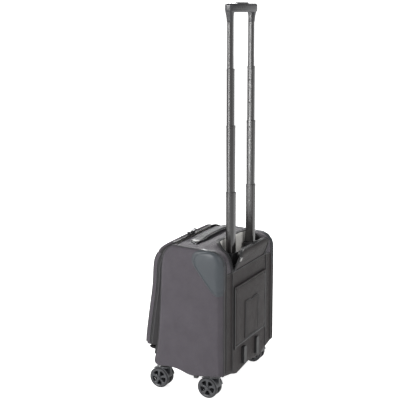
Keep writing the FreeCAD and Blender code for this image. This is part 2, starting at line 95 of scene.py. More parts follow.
def smooth_curve(points, count):
    """Evenly spaced points on a smooth curve through the given ones."""
    p = np.array(points, float)
    seg = np.linalg.norm(np.diff(p, axis=0), axis=1)
    t = np.concatenate([[0], np.cumsum(np.sqrt(seg))])
    n = len(p)
    a, rhs = np.zeros((n, n)), np.zeros((n, p.shape[1]))
    a[0, 0] = a[-1, -1] = 1
    h = np.diff(t)
    for i in range(1, n - 1):
        a[i, i - 1], a[i, i], a[i, i + 1] = h[i - 1], 2 * (h[i - 1] + h[i]), h[i]
        rhs[i] = 6 * ((p[i + 1] - p[i]) / h[i] - (p[i] - p[i - 1]) / h[i - 1])
    m = np.linalg.solve(a, rhs)
    u = np.linspace(0, t[-1], count * 6)
    k = np.clip(np.searchsorted(t, u, side="right") - 1, 0, n - 2)
    d0, d1, hk = (u - t[k])[:, None], (t[k + 1] - u)[:, None], h[k][:, None]
    dense = (m[k] * d1 ** 3 + m[k + 1] * d0 ** 3) / (6 * hk)
    dense += (p[k] / hk - m[k] * hk / 6) * d1 + (p[k + 1] / hk - m[k + 1] * hk / 6) * d0
    return resample(dense, count)


def arc_length(points):
    """Length along a line at each of its points."""
    return np.concatenate([[0], np.cumsum(np.linalg.norm(np.diff(points, axis=0), axis=1))])

def read_off(places, along, values):
    """The rows of values, given at the lengths along, interpolated at other places."""
    return np.stack([np.interp(places, along, column) for column in np.array(values, float).T], axis=-1)

def resample(points, count):
    p = np.array(points, float)
    s = arc_length(p)
    return read_off(np.linspace(0, s[-1], count), s, p)


def tangents(p, closed=False):
    if closed:
        t = np.roll(p, -1, axis=0) - np.roll(p, 1, axis=0)
    else:
        t = np.gradient(p, axis=0)
    return t / np.maximum(np.linalg.norm(t, axis=1), 1e-9)[:, None]


def normals_2d(p, closed=False):
    """Unit normals to the right of the direction of travel."""
    t = tangents(p, closed)
    return np.stack([t[:, 1], -t[:, 0]], axis=1)


def unit(v):
    v = np.array(v, float)
    return v / np.maximum(np.linalg.norm(v, axis=-1, keepdims=True), 1e-9)


def smoothstep(v, low, high):
    t = np.clip((np.asarray(v, float) - low) / (high - low), 0, 1)
    return t * t * (3 - 2 * t)


def grid_faces(rows, cols, close_rows=False, close_cols=False):
    faces = []
    for i in range(rows if close_rows else rows - 1):
        for j in range(cols if close_cols else cols - 1):
            here, below, right = i * cols, (i + 1) % rows * cols, (j + 1) % cols
            faces.append((here + j, here + right, below + right, below + j))
    return faces


def sagged(v):
    """The soft case's far top edge hangs a little; the point comes back in metres."""
    x, y, z = v
    front = smoothstep(-y, 20, 50)
    if z < SAG_BELOW:
        deep = SAG_REAR + (SAG_FRONT - SAG_REAR) * front
        z = z - deep * smoothstep(-x, SAG_SIDE[0] - 30 * front, SAG_SIDE[1]) * smoothstep(z, *SAG_HEIGHT)
    return (x * MM, y * MM, float(z) * MM)


class Build:
    """Collects vertices and faces, in millimetres, for one piece."""

    def __init__(self):
        self.verts, self.faces, self.mats = [], [], []

    def add(self, verts, faces, mat=0):
        base = len(self.verts)
        self.verts.extend([tuple(float(c) for c in v) for v in verts])
        self.faces.extend([tuple(base + i for i in f) for f in faces])
        self.mats.extend([mat] * len(faces))

    def grid(self, points, mat=0, keep=None, close_rows=False, close_cols=False):
        p = np.array(points, float)
        rows, cols = p.shape[:2]
        faces = grid_faces(rows, cols, close_rows, close_cols)
        if keep is not None:
            faces = [f for i, f in enumerate(faces) if keep[i // (cols - 1)][i % (cols - 1)]]
        self.add(p.reshape(-1, 3), faces, mat)

    def loft(self, rings, mat=0):
        """Joins closed rings one after another and caps both ends."""
        self.grid(rings, mat, close_cols=True)
        for ring in (rings[0], rings[-1]):
            self.add(ring, [tuple(range(len(ring)))], mat)

    def sweep(self, path, up, section, mat=0, closed=False):
        """Carries a closed 2D section (across, up) along a path."""
        p = np.array(path, float)
        t = tangents(p, closed)
        up = np.broadcast_to(np.array(up, float), p.shape)
        across = unit(np.cross(t, up))
        lift = np.cross(across, t)
        s = np.array(section, float)
        rings = p[:, None, :] + (across[:, None, :] * s[None, :, 0, None] + lift[:, None, :] * s[None, :, 1, None])
        n, m = len(p), len(s)
        faces = grid_faces(n, m, closed, True)
        if not closed:
            faces += [tuple(reversed(range(m))), tuple((n - 1) * m + i for i in range(m))]
        self.add(rings.reshape(-1, 3), faces, mat)

    def tube(self, path, radius, mat=0, closed=False, sides=8):
        self.sweep(path, (0.12, 0.31, 0.94), circle(radius, sides), mat, closed)

    def lathe(self, profile, centre, axis, steps=40, mat=0):
        """Turns a closed (radius, along) profile about an axis through the centre."""
        axis = unit(axis)
        side = unit(np.cross(axis, (0.3, 0.2, 0.93)))
        other = np.cross(axis, side)
        rings = []
        for i in range(steps):
            a = 2 * math.pi * i / steps
            out = side * math.cos(a) + other * math.sin(a)
            rings.append([np.array(centre) + out * r + axis * h for r, h in profile])
        self.grid(rings, mat, close_rows=True, close_cols=True)

    def brick(self, centre, axes, size, mat=0, taper=0.7):
        """A small six-sided block, narrower on its top."""
        a, b, c = [unit(v) for v in axes]
        x, y, z = [s / 2 for s in size]
        verts = []
        for k, w in ((-z, 1.0), (z, taper)):
            for i, j in ((-1, -1), (1, -1), (1, 1), (-1, 1)):
                verts.append(np.array(centre) + a * i * x * w + b * j * y * w + c * k)
        faces = [(3, 2, 1, 0), (4, 5, 6, 7), (0, 1, 5, 4), (1, 2, 6, 5), (2, 3, 7, 6), (3, 0, 4, 7)]
        self.add(verts, faces, mat)

    def mirrored(self):
        """Adds the mirror image in X of everything so far."""
        verts = [(-x, y, z) for x, y, z in self.verts]
        base = len(self.verts)
        faces = [tuple(base + i for i in reversed(f)) for f in self.faces]
        self.verts += verts
        self.faces += faces
        self.mats += list(self.mats)
        return self

    def piece(self, name, body, mats, slot, replaces=(), sharp=38, merge=0.02):
        data = bpy.data.meshes.new(name)
        data.from_pydata([sagged(v) for v in self.verts], [], self.faces)
        for m in mats:
            data.materials.append(m)
        data.polygons.foreach_set("material_index", self.mats)
        bm = bmesh.new()
        bm.from_mesh(data)
        bmesh.ops.remove_doubles(bm, verts=bm.verts, dist=merge * MM)
        bmesh.ops.recalc_face_normals(bm, faces=bm.faces)
        bm.to_mesh(data)
        bm.free()
        data.polygons.foreach_set("use_smooth", [True] * len(data.polygons))
        data.set_sharp_from_angle(angle=math.radians(sharp))
        obj = bpy.data.objects.new(name, data)
        bpy.context.scene.collection.objects.link(obj)
        if body:
            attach(obj, body)
        if replaces:
            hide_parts(*replaces)
        return obj


def circle(radius, sides=8):
    return [(radius * math.cos(2 * math.pi * i / sides), radius * math.sin(2 * math.pi * i / sides))
            for i in range(sides)]


def rounded_rect(w, h, r, steps=3):
    points = []
    for cx, cy, start in ((1, 1, 0), (-1, 1, 90), (-1, -1, 180), (1, -1, 270)):
        for i in range(steps + 1):
            a = math.radians(start + 90 * i / steps)
            points.append((cx * (w / 2 - r) + r * math.cos(a), cy * (h / 2 - r) + r * math.sin(a)))
    return points


def apply_modifiers(obj):
    dg = bpy.context.evaluated_depsgraph_get()
    mesh = bpy.data.meshes.new_from_object(obj.evaluated_get(dg))
    obj.modifiers.clear()
    obj.data = mesh


def thicken(obj, thick, inner_mat=0):
    """Gives a sheet its thickness, inwards; inner_mat counts on from the sheet's own material."""
    mod = obj.modifiers.new("thick", "SOLIDIFY")
    mod.thickness, mod.offset, mod.material_offset = thick * MM, -1.0, inner_mat
    apply_modifiers(obj)

def puff(obj, voxel, pressure, cap):
    """Blows a closed cloth piece up a little with the cloth solver; no point moves further than cap."""
    frames = 20
    scene = bpy.context.scene
    remesh = obj.modifiers.new("remesh", "REMESH")
    remesh.mode = "VOXEL"
    remesh.voxel_size = voxel * MM
    apply_modifiers(obj)
    start = np.array([v.co for v in obj.data.vertices])
    cloth = obj.modifiers.new("cloth", "CLOTH")
    cloth.settings.quality = 5
    cloth.settings.mass = 0.3
    cloth.settings.tension_stiffness = 15
    cloth.settings.compression_stiffness = 15
    cloth.settings.use_pressure = True
    cloth.settings.uniform_pressure_force = pressure
    cloth.settings.effector_weights.gravity = 0
    cloth.collision_settings.use_collision = False
    cloth.point_cache.frame_end = frames
    for f in range(1, frames + 1):
        scene.frame_set(f)
    apply_modifiers(obj)
    scene.frame_set(1)
    end = np.array([v.co for v in obj.data.vertices])
    move = end - start
    move -= move.mean(axis=0)
    length = np.linalg.norm(move, axis=1, keepdims=True)
    end = start + move * np.minimum(1, cap * MM / np.maximum(length, 1e-9))
    obj.data.vertices.foreach_set("co", end.ravel())
    sub = obj.modifiers.new("sub", "SUBSURF")
    sub.levels = sub.render_levels = 1
    apply_modifiers(obj)
    obj.data.polygons.foreach_set("use_smooth", [True] * len(obj.data.polygons))


# ---- materials ----

class Nodes:
    """Short hand for making and linking shader nodes."""

    def __init__(self, tree):
        self.tree = tree

    def make(self, kind, values, out=0, **settings):
        node = self.tree.nodes.new("ShaderNode" + kind)
        for key, value in settings.items():
            setattr(node, key, value)
        for key, value in values.items():
            if isinstance(value, bpy.types.NodeSocket):
                self.tree.links.new(value, node.inputs[key])
            else:
                node.inputs[key].default_value = value
        return node.outputs[out]

    def math(self, op, a, b=0.0):
        return self.make("Math", {0: a, 1: b}, operation=op)

    def vec(self, op, a, b=None, scale=None):
        values = {0: a}
        if b is not None:
            values[1] = b
        if scale is not None:
            values["Scale"] = scale
        return self.make("VectorMath", values, "Value" if op == "DOT_PRODUCT" else 0, operation=op)

    def noise(self, coord, scale, detail=3.0, rough=0.55):
        return self.make("TexNoise", {"Vector": coord, "Scale": scale, "Detail": detail, "Roughness": rough})

    def spread(self, value, low, high, a=0.3, b=0.7):
        return self.make("MapRange", {0: value, 1: a, 2: b, 3: low, 4: high})


def material(name, color, rough, metal=0.0, spec=0.5, sheen=0.0, weave=0.0, weave_depth=0.25,
             grain=0.0, grain_depth=0.1, mottle=0.1, blotch=24.0, wear=0.0):
    """weave and grain are sizes in millimetres, their depths too; mottle is the spread of the tone."""
    mat = bpy.data.materials.new(name)
    mat.use_nodes = True
    bsdf = mat.node_tree.nodes["Principled BSDF"]
    n = Nodes(mat.node_tree)
    for socket, value in (("Metallic", metal), ("Specular IOR Level", spec), ("Sheen Weight", sheen),
                          ("Sheen Roughness", 0.45)):
        bsdf.inputs[socket].default_value = value
    coord = n.make("TexCoord", {}, "Object")
    normal = n.make("TexCoord", {}, "Normal")
    tone = n.spread(n.noise(coord, blotch), 1.0 - mottle, 1.0 + mottle)
    height = None
    if weave:
        s = n.vec("SINE", n.vec("SCALE", coord, scale=2 * math.pi / (weave * MM)))
        x, y, z = [n.make("SeparateXYZ", {0: s}, i) for i in range(3)]
        products = n.make("CombineXYZ", {0: n.math("MULTIPLY", y, z), 1: n.math("MULTIPLY", z, x),
                                         2: n.math("MULTIPLY", x, y)})
        cloth = n.vec("DOT_PRODUCT", products, n.vec("MULTIPLY", normal, normal))
        tone = n.math("MULTIPLY", tone, n.spread(cloth, 0.86, 1.14, -1.0, 1.0))
        fibre = n.noise(coord, 1.0 / (weave * 1.7 * MM), 2.0)
        tone = n.math("MULTIPLY", tone, n.spread(fibre, 0.88, 1.12))
        height = n.math("MULTIPLY", cloth, weave_depth)
    if grain:
        pebble = n.noise(coord, 1.0 / (grain * MM), 2.0, 0.5)
        tone = n.math("MULTIPLY", tone, n.spread(pebble, 0.95, 1.05))
        pebble = n.math("MULTIPLY", pebble, grain_depth)
        height = pebble if height is None else n.math("ADD", height, pebble)
    shine = n.spread(n.noise(coord, blotch * 2.3), max(0.04, rough - 0.06), min(1.0, rough + 0.06))
    colour = n.vec("SCALE", tuple(color), scale=tone)
    if wear:
        edge = n.spread(n.make("NewGeometry", {}, "Pointiness"), 0.0, wear, 0.52, 0.62)
        rubbed = n.math("MULTIPLY", edge, n.spread(n.noise(coord, 90.0), 0.0, 1.0))
        pale = tuple(min(1.0, c * 2.2 + 0.03) for c in color)
        colour = n.vec("ADD", colour, n.vec("SCALE", pale, scale=n.math("MULTIPLY", rubbed, 0.5)))
    mat.node_tree.links.new(colour, bsdf.inputs["Base Color"])
    mat.node_tree.links.new(shine, bsdf.inputs["Roughness"])
    if height is not None:
        bump = n.make("Bump", {"Strength": 1.0, "Distance": MM, "Height": height})
        mat.node_tree.links.new(bump, bsdf.inputs["Normal"])
    return mat


CLOTH = material("Ballistic nylon", (0.047, 0.042, 0.049), 0.62, spec=0.16, sheen=0.04, weave=0.9,
                 weave_depth=0.10, mottle=0.08)
# Painted shade: the back faces away from the key light, and its nylon is coloured darker than CLOTH on the sides to
# stand in for that shade.
SHADED_REAR_CLOTH = material("Rear nylon with painted shade", (0.027, 0.024, 0.024), 0.68, spec=0.14, sheen=0.04, weave=0.7,
                      weave_depth=0.08, mottle=0.08)
LINING = material("Lining", (0.62, 0.61, 0.58), 0.6, spec=0.3, sheen=0.3, weave=0.5, weave_depth=0.05,
                  mottle=0.06)
# A dark lining; in the well the same material is painted shade on the walls that lie deep in shadow.
DARK_LINING_AND_SHADE = material("Dark lining and painted shade", (0.022, 0.021, 0.022), 0.7, spec=0.12, weave=0.6,
                       weave_depth=0.05, mottle=0.08)
GUARD = material("Guard shell", (0.030, 0.035, 0.040), 0.46, spec=0.3, grain=0.8,
                 grain_depth=0.05, mottle=0.05, wear=0.3)
PIPING = material("Piping", (0.018, 0.018, 0.019), 0.46, spec=0.3, grain=1.2, grain_depth=0.06,
                  mottle=0.08, wear=0.3)
TAPE = material("Zipper tape", (0.016, 0.016, 0.017), 0.6, spec=0.2, weave=0.8, weave_depth=0.12,
                mottle=0.06)
TEETH = material("Zipper teeth", (0.05, 0.05, 0.052), 0.34, metal=0.35, spec=0.4, grain=0.5,
                 grain_depth=0.03, mottle=0.1)
SILVER = material("Plated metal", (0.22, 0.22, 0.215), 0.38, metal=1.0, grain=1.5, grain_depth=0.02,
                  mottle=0.06)
DARK_METAL = material("Dark metal", (0.035, 0.035, 0.037), 0.46, metal=0.9, grain=1.2, grain_depth=0.03,
                      mottle=0.08, wear=0.3)
TUBE = material("Anodised tube", (0.012, 0.011, 0.011), 0.2, spec=0.55, mottle=0.05, wear=0.1)
# Painted shade: near-black discs on the tubes stand in for the dark inside of the latch holes.
PAINTED_HOLE_SHADE = material("Latch hole painted shade", (0.004, 0.004, 0.004), 0.6)
COLLAR = material("Collar plastic", (0.012, 0.012, 0.013), 0.3, spec=0.4, grain=0.5, grain_depth=0.03,
                  mottle=0.06, wear=0.2)
MOULDED = material("Moulded plastic", (0.018, 0.018, 0.019), 0.5, spec=0.3, grain=0.7, grain_depth=0.08,
                   mottle=0.07, wear=0.2)
GRIP = material("Grip plastic", (0.014, 0.014, 0.016), 0.30, spec=0.4, grain=0.6, grain_depth=0.05,
                mottle=0.06, wear=0.2)
BUTTON = material("Button plastic", (0.06, 0.06, 0.064), 0.34, spec=0.5, grain=0.4, grain_depth=0.02,
                  mottle=0.05, wear=0.3)
WHEEL = material("Wheel plastic", (0.026, 0.027, 0.030), 0.34, spec=0.4, grain=0.6, grain_depth=0.04,
                 mottle=0.07, wear=0.3)
TYRE = material("Tyre rubber", (0.018, 0.018, 0.020), 0.6, spec=0.25, grain=0.5, grain_depth=0.08,
                mottle=0.14, blotch=60.0)
HANDLE = material("Handle cloth", (0.040, 0.040, 0.042), 0.5, spec=0.25, sheen=0.05, weave=1.1,
                  weave_depth=0.14, mottle=0.07)
THREAD = material("Thread", (0.05, 0.048, 0.05), 0.55, spec=0.2, weave=0.4, weave_depth=0.06, mottle=0.1)
ELASTIC = material("Webbing", (0.024, 0.024, 0.025), 0.6, spec=0.2, weave=1.6, weave_depth=0.25, mottle=0.08)


# ---- shape of the side: one closed loop in the YZ plane, from the front top over the back ----

def closed_smooth(points, sigma, spacing):
    """Gaussian smoothing of an evenly spaced closed loop."""
    reach = int(4 * sigma / spacing)
    k = np.arange(-reach, reach + 1)
    w = np.exp(-0.5 * (k * spacing / sigma) ** 2)
    w /= w.sum()
    out = np.zeros_like(points)
    for shift, weight in zip(k, w):
        out += weight * np.roll(points, shift, axis=0)
    return out


def side_loop():
    """The side's outline as evenly spaced points in (y, z), and a unit normal at each."""
    fine, step = 0.9, 4                  # spacing of the smoothed line, and every how many points one is kept
    a = np.radians(np.linspace(90, 0, 24))
    cy, cz = REAR_Y - TOP_REAR_R, TOP_Z - TOP_REAR_R
    arc = np.stack([cy + TOP_REAR_R * np.cos(a), cz + TOP_REAR_R * np.sin(a)], axis=1)
    path = np.concatenate([[FRONT_TOP], arc, smooth_curve(BOTTOM, 80)[::-1], smooth_curve(GROOVE, 110)[::-1]])
    count = int(np.linalg.norm(np.diff(path, axis=0), axis=1).sum() / fine)
    dense = closed_smooth(resample(path, count)[:-1], 5.0, fine)
    normal = closed_smooth(normals_2d(dense, True), 16.0, fine)
    return dense[::step], -unit(normal)[::step]

LOOP, LOOP_OUT = side_loop()
if np.dot(LOOP_OUT[len(LOOP) // 8], LOOP[len(LOOP) // 8] - np.array([10.0, 240.0])) < 0:
    LOOP_OUT = -LOOP_OUT
LOOP_S = arc_length(LOOP)
MIDDLE = np.array([12.0, 238.0])
SIDE_BULGE = 2.4
INSET_LOW = 3.5          # the edge is rounded over less height along the bottom
INSET_REAR = 12.5        # and stops at a soft crease at the rear corners
INSET = EDGE_R + (INSET_REAR - EDGE_R) * np.clip((LOOP[:, 0] - 70) / 36, 0, 1)
INSET = INSET_LOW + (INSET - INSET_LOW) * np.maximum(np.clip((LOOP[:, 1] - 76) / 30, 0, 1),
                                                     0.6 * np.clip((LOOP[:, 0] - 80) / 20, 0, 1))
CREASE = np.clip((LOOP[:, 0] - 84) / 20, 0, 1) * np.clip((385 - LOOP[:, 1]) / 30, 0, 1)


def sag(y, z):
    """Low soft waves of the cloth, in millimetres."""
    return 0.45 * np.sin(y / 23 + 1.3) * np.sin(z / 31 + 0.5) + 0.4 * np.sin(y / 41 + z / 57)


def edge_turn(turn, crease):
    """Shares of the inset and of the width reached at a turn from 0 to 1: a round edge, or a flatter creased one."""
    a = turn * math.pi / 2
    return (1 - crease) * (1 - np.cos(a)) + crease * turn ** 1.2, (1 - crease) * np.sin(a) + crease * turn


def side_point(i, turn, f):
    """Point on the left side: turn 0 to 1 goes round the edge, then f 1 to 0 goes to the middle."""
    inset, wide = edge_turn(turn, CREASE[i])
    p = LOOP[i] - LOOP_OUT[i] * INSET[i] * inset
    x = SEAM_X + EDGE_R * wide
    if f < 1:
        p = MIDDLE + (p - MIDDLE) * f
        lift = 1 - f ** 4
        x += SIDE_BULGE * lift + lift * sag(p[0], p[1])
    return (x, p[0], p[1])


S_TOP_REAR = float(np.interp(70.0, LOOP[:40, 0], LOOP_S[:40]))


def index_at(y, z):
    return int(np.argmin(np.linalg.norm(LOOP - np.array([y, z]), axis=1)))


I_FOLD = index_at(REAR_Y, FOLD_Z)
I_REAR_FOOT = index_at(REAR_Y, 72.0)
I_WRAP_END = I_REAR_FOOT + 3
S_FOLD = LOOP_S[I_FOLD]
S_ARC_END = LOOP_S[index_at(REAR_Y, TOP_Z - TOP_REAR_R)]
S_WELL = float(np.interp(-WELL_FRONT_Y, -LOOP[:40, 0][::-1], LOOP_S[:40][::-1]))
RIM_X = [-130, -99, -47, 38, 91, 106, 136]          # how far the well's front rim stands up, along x
RIM_RISE = [0, 0, 4.5, 8.0, 9.5, 8.0, 0]
RIM_PULL = 8.5                                      # how far the open rim is pulled straight over the corner
FOOT_X = [0, 48, 75, 105, 130, 158]
FOOT_Z = [61, 55, 52, 62, 67, 73]


def wrap_point(x, s):
    """Point and outward normal of the top and rear skin at x and at arc length s from the front top."""
    y, z = np.interp(s, LOOP_S, LOOP[:, 0]), np.interp(s, LOOP_S, LOOP[:, 1])
    ny, nz = np.interp(s, LOOP_S, LOOP_OUT[:, 0]), np.interp(s, LOOP_S, LOOP_OUT[:, 1])
    on_top = 1 - smoothstep(s, S_TOP_REAR - 10, S_ARC_END)
    dip = 4.0 * (1 - smoothstep(abs(x), 140, 153)) * on_top
    crown = 1.8 * (1 - (x / SEAM_X) ** 2) * on_top
    rear = smoothstep(s, S_FOLD - 6, S_FOLD + 10) * (1 - smoothstep(s, LOOP_S[I_REAR_FOOT] - 16, LOOP_S[I_REAR_FOOT]))
    band = smoothstep(abs(x), 106, 111) * (1 - smoothstep(abs(x), 136, 141))
    h = crown - dip - 2.4 * band * rear
    h += 0.5 * math.sin(x / 27 + z / 35) * rear * (1 - smoothstep(abs(x), 90, 105))
    t = (s - S_WELL) / (S_FOLD - S_WELL)
    rise = np.interp(x, RIM_X, RIM_RISE) * smoothstep(y, 20, 54)
    shoulder = smoothstep(abs(x), 94, 99) * (1 - smoothstep(abs(x), 104, 136))
    if t > 0:
        rise *= 1 - smoothstep(t, 0.0, 0.3)
        h -= RIM_PULL * math.sin(math.pi * min(max((t - 0.06) / 0.94, 0.0), 1.0)) * shoulder
    h += rise
    if s > S_FOLD:
        t = smoothstep(s, LOOP_S[I_REAR_FOOT] - 24, LOOP_S[I_REAR_FOOT])
        z = z + t * (np.interp(abs(x), FOOT_X, FOOT_Z) - FOOT_Z[-1]) * (1 - smoothstep(abs(x), 148, SEAM_X))
    return np.array([x, y + ny * h, z + nz * h]), np.array([0, ny, nz])


def well_edge(grow, count, close=False):
    """The rounded U of the well's mouth in (x, s), from the fold on the right to the fold on the left."""
    w, top, r = WELL_X + grow, S_WELL - grow, WELL_R + grow
    points = [(-w, S_FOLD + 1)]
    for start, cx in ((180, -w + r), (270, w - r)):
        for i in range(9):
            a = math.radians(start + 90 * i / 8)
            points.append((cx + r * math.cos(a), top + r + r * math.sin(a)))
    points.append((w, S_FOLD + 1))
    if close:
        points.append((-w, S_FOLD + 1))
    return resample(points, count)


def on_wrap(flat, lift=0.0):
    pairs = [wrap_point(x, s) for x, s in flat]
    ups = np.array([n for _, n in pairs])
    return np.array([p for p, _ in pairs]) + ups * lift, ups


def build_skin():
    """The cloth of the sides, the top and the back, with the well's mouth left open."""
    b = Build()
    turns = [(k / 6, 1.0) for k in range(7)]
    fades = [(1.0, f) for f in (0.97, 0.93, 0.88, 0.82, 0.75, 0.67, 0.58, 0.49, 0.4, 0.31, 0.22, 0.13, 0.05, 0.0)]
    b.grid([[side_point(i, t, f) for t, f in turns + fades] for i in range(len(LOOP))], close_rows=True)
    b.mirrored()
    rows, columns = I_WRAP_END + 1, 65
    xs = np.linspace(-SEAM_X, SEAM_X, columns)
    hole = well_edge(0, 240, True)
    flat = [[(x, LOOP_S[i]) for x in xs] for i in range(rows)]
    inside = np.zeros((rows - 1, columns - 1), bool)
    for i in range(rows - 1):
        for j in range(columns - 1):
            cx, cs = (xs[j] + xs[j + 1]) / 2, (LOOP_S[i] + LOOP_S[i + 1]) / 2
            dx, ds = WELL_X - abs(cx), cs - S_WELL
            corner = dx < WELL_R and ds < WELL_R and math.hypot(WELL_R - dx, WELL_R - ds) > WELL_R
            inside[i, j] = dx > 0 and 0 < ds and cs < S_FOLD and not corner
    for i in range(rows):
        for j in range(columns):
            cells = inside[max(i - 1, 0):i + 1, max(j - 1, 0):j + 1]
            if cells.any() and not cells.all():
                p = np.array(flat[i][j])
                near = hole[np.argmin(np.linalg.norm(hole - p, axis=1))]
                flat[i][j] = tuple(near)
    points = [[wrap_point(x, s)[0] for x, s in row] for row in flat]
    for i, row in enumerate(points):
        for j, sign in ((0, -1), (columns - 1, 1)):
            row[j] = np.array([sign * SEAM_X, LOOP[i][0], LOOP[i][1]])
    keep = [[not inside[i, j] for j in range(columns - 1)] for i in range(rows - 1)]
    b.grid(points[:I_FOLD + 1], 0, keep[:I_FOLD])
    # From the fold down, the back takes the darker rear nylon, which is painted shade.
    b.grid(points[I_FOLD:], 1, keep[I_FOLD:])
    skin = b.piece("case_skin", "case", [CLOTH, SHADED_REAR_CLOTH], "nylon_cloth",
                   ("side_panel_left", "side_panel_right", "top_panel", "rear_shoulders", "back_panel"), 50, 0.6)
    thicken(skin, 2.2)


build_skin()


# ---- surface of the side, for the pieces that lie on it ----

LOOP_CLOSED = np.concatenate([LOOP, LOOP[:1]])


def side_height(y, z):
    """Height x of the left side's skin over the point (y, z)."""
    a, b = LOOP_CLOSED[:-1], LOOP_CLOSED[1:]
    p = np.array([y, z])
    t = np.clip(((p - a) * (b - a)).sum(axis=1) / ((b - a) ** 2).sum(axis=1), 0, 1)
    gaps = np.linalg.norm(a + (b - a) * t[:, None] - p, axis=1)
    d, near = gaps.min(), np.argmin(gaps)
    wide = INSET[near]
    if d < wide:
        inset, out = edge_turn(np.linspace(0, 1, 60), CREASE[near])
        return SEAM_X + EDGE_R * float(np.interp(d / wide, inset, out))
    reach = np.linalg.norm(p - MIDDLE)
    inset = d - wide
    f = reach / max(reach + inset, 1e-6)
    lift = 1 - f ** 4
    return SEAM_X + EDGE_R + SIDE_BULGE * lift + lift * sag(y, z)


def on_side(y, z, lift):
    e = 1.5
    x = side_height(y, z)
    n = unit([1.0, -(side_height(y + e, z) - side_height(y - e, z)) / (2 * e),
              -(side_height(y, z + e) - side_height(y, z - e)) / (2 * e)])
    return np.array([x, y, z]) + n * lift, n


def on_corner(y, z, lift):
    """The side's surface, carried on round its edge onto the top and rear skin."""
    p = np.array([y, z])
    near = int(np.argmin(np.linalg.norm(LOOP - p, axis=1)))
    beyond = float(np.dot(p - LOOP[near], LOOP_OUT[near]))
    if beyond <= 0:
        return on_side(y, z, lift)
    s = LOOP_S[near] + float(np.dot(p - LOOP[near], np.array([LOOP_OUT[near][1], -LOOP_OUT[near][0]])))
    at, n = wrap_point(SEAM_X - beyond, s)
    n = unit(n + np.array([0.6 * max(0.0, 1 - beyond / 6), 0, 0]))
    return at + n * lift, n


def closed_spline(points, count):
    """Evenly spaced points on a smooth closed curve through the given ones."""
    p = np.array(points, float)
    line = smooth_curve(np.concatenate([p[-4:], p, p[:5]]), count * 3)
    gap = np.linalg.norm(line - p[0], axis=1)
    half = len(line) // 2
    return resample(line[np.argmin(gap[:half]):half + np.argmin(gap[half:]) + 1], count + 1)[:-1]


GUARD_LINE = [(26, 374), (28, 393), (42, 404), (64, 409), (88, 408.5), (106, 398.5), (115.5, 381), (118, 352),
              (118, 325), (116, 301), (107.5, 290.5), (95, 289.5), (82, 298.5), (62, 323), (40, 351)]


def build_guard():
    outline = closed_spline(GUARD_LINE, 84)
    centre = np.array([80.0, 355.0])
    profile = [(1.0, -0.6), (1.0, 0.5), (0.985, 1.1), (0.96, 1.4), (0.90, 1.5), (0.875, 1.4), (0.86, 0.75),
               (0.84, 0.7), (0.825, 1.3), (0.80, 1.6), (0.7, 1.8), (0.55, 1.95), (0.4, 2.05), (0.2, 2.1), (0.0, 2.1)]
    rows = []
    for p in outline:
        row = []
        for f, h in profile:
            y, z = centre + (p - centre) * f
            row.append(on_corner(y, z, h)[0])
        rows.append(row)
    b = Build()
    b.grid(rows, close_rows=True)
    b.mirrored()
    b.piece("corner_guard_shells", "case", [GUARD], "guard_plastic", ("corner_guards",), 60)
    stitches = Build()
    line = closed_spline([tuple(centre + (np.array(p) - centre) * 0.935) for p in outline[::3]], 110)
    for i in range(len(line)):
        mid = (line[i] + line[(i + 1) % len(line)]) / 2
        at, n = on_corner(mid[0], mid[1], 1.65)
        way = line[(i + 1) % len(line)] - line[i]
        t = unit([0.0, way[0], way[1]])
        stitches.brick(at, (t, np.cross(n, t), n), (2.6, 0.7, 0.5))
    stitches.mirrored()
    stitches.piece("guard_stitching", "case", [THREAD], "nylon_cloth")


build_guard()


# ---- zippers, piping and stitching along a line ----

TOOTH_PITCH = 2.3

def frames_along(path, ups, first, last, pitch):
    """Point, way and up at every pitch from the length first on; last is what stays free at the end."""
    path, ups = np.array(path, float), np.broadcast_to(np.array(ups, float), np.shape(path))
    s, t = arc_length(path), tangents(path)
    for u in np.arange(first, s[-1] - last, pitch):
        yield read_off(u, s, path), unit(read_off(u, s, t)), unit(read_off(u, s, ups))

def add_teeth(b, path, ups, side, lift=0.9, gap=0.75):
    """One row of teeth beside the line; side is -1 or 1, and the rows are half a pitch apart."""
    first = TOOTH_PITCH if side < 0 else TOOTH_PITCH * 1.5
    for p, way, up in frames_along(path, ups, first, TOOTH_PITCH, TOOTH_PITCH):
        across = unit(np.cross(way, up))
        b.brick(p + up * lift + across * side * gap, (way, across, up), (1.35, 2.0, 1.1), 1)

def add_stitches(b, path, ups, mat=0, pitch=4.2, lift=0.15, length=2.7):
    for p, way, up in frames_along(path, ups, pitch, pitch / 2, pitch):
        b.brick(p + up * lift, (way, np.cross(up, way), up), (length, 0.7, 0.5), mat)

def edge_line(first, last, turn, lift, turn_end=None):
    """A line on the rounded edge of the side between two places of the loop."""
    count = (last - first) % len(LOOP) + 1
    rows, ups = [], []
    for k in range(count):
        i = (first + k) % len(LOOP)
        part = turn if turn_end is None else turn + (turn_end - turn) * smoothstep(LOOP[i][0], 60, 105)
        a = part * math.pi / 2
        inset, wide = edge_turn(part, CREASE[i])
        p = LOOP[i] - LOOP_OUT[i] * INSET[i] * inset
        n = np.array([math.sin(a), LOOP_OUT[i][0] * math.cos(a), LOOP_OUT[i][1] * math.cos(a)])
        rows.append(np.array([SEAM_X + EDGE_R * wide, p[0], p[1]]) + n * lift)
        ups.append(n)
    return np.array(rows), np.array(ups)


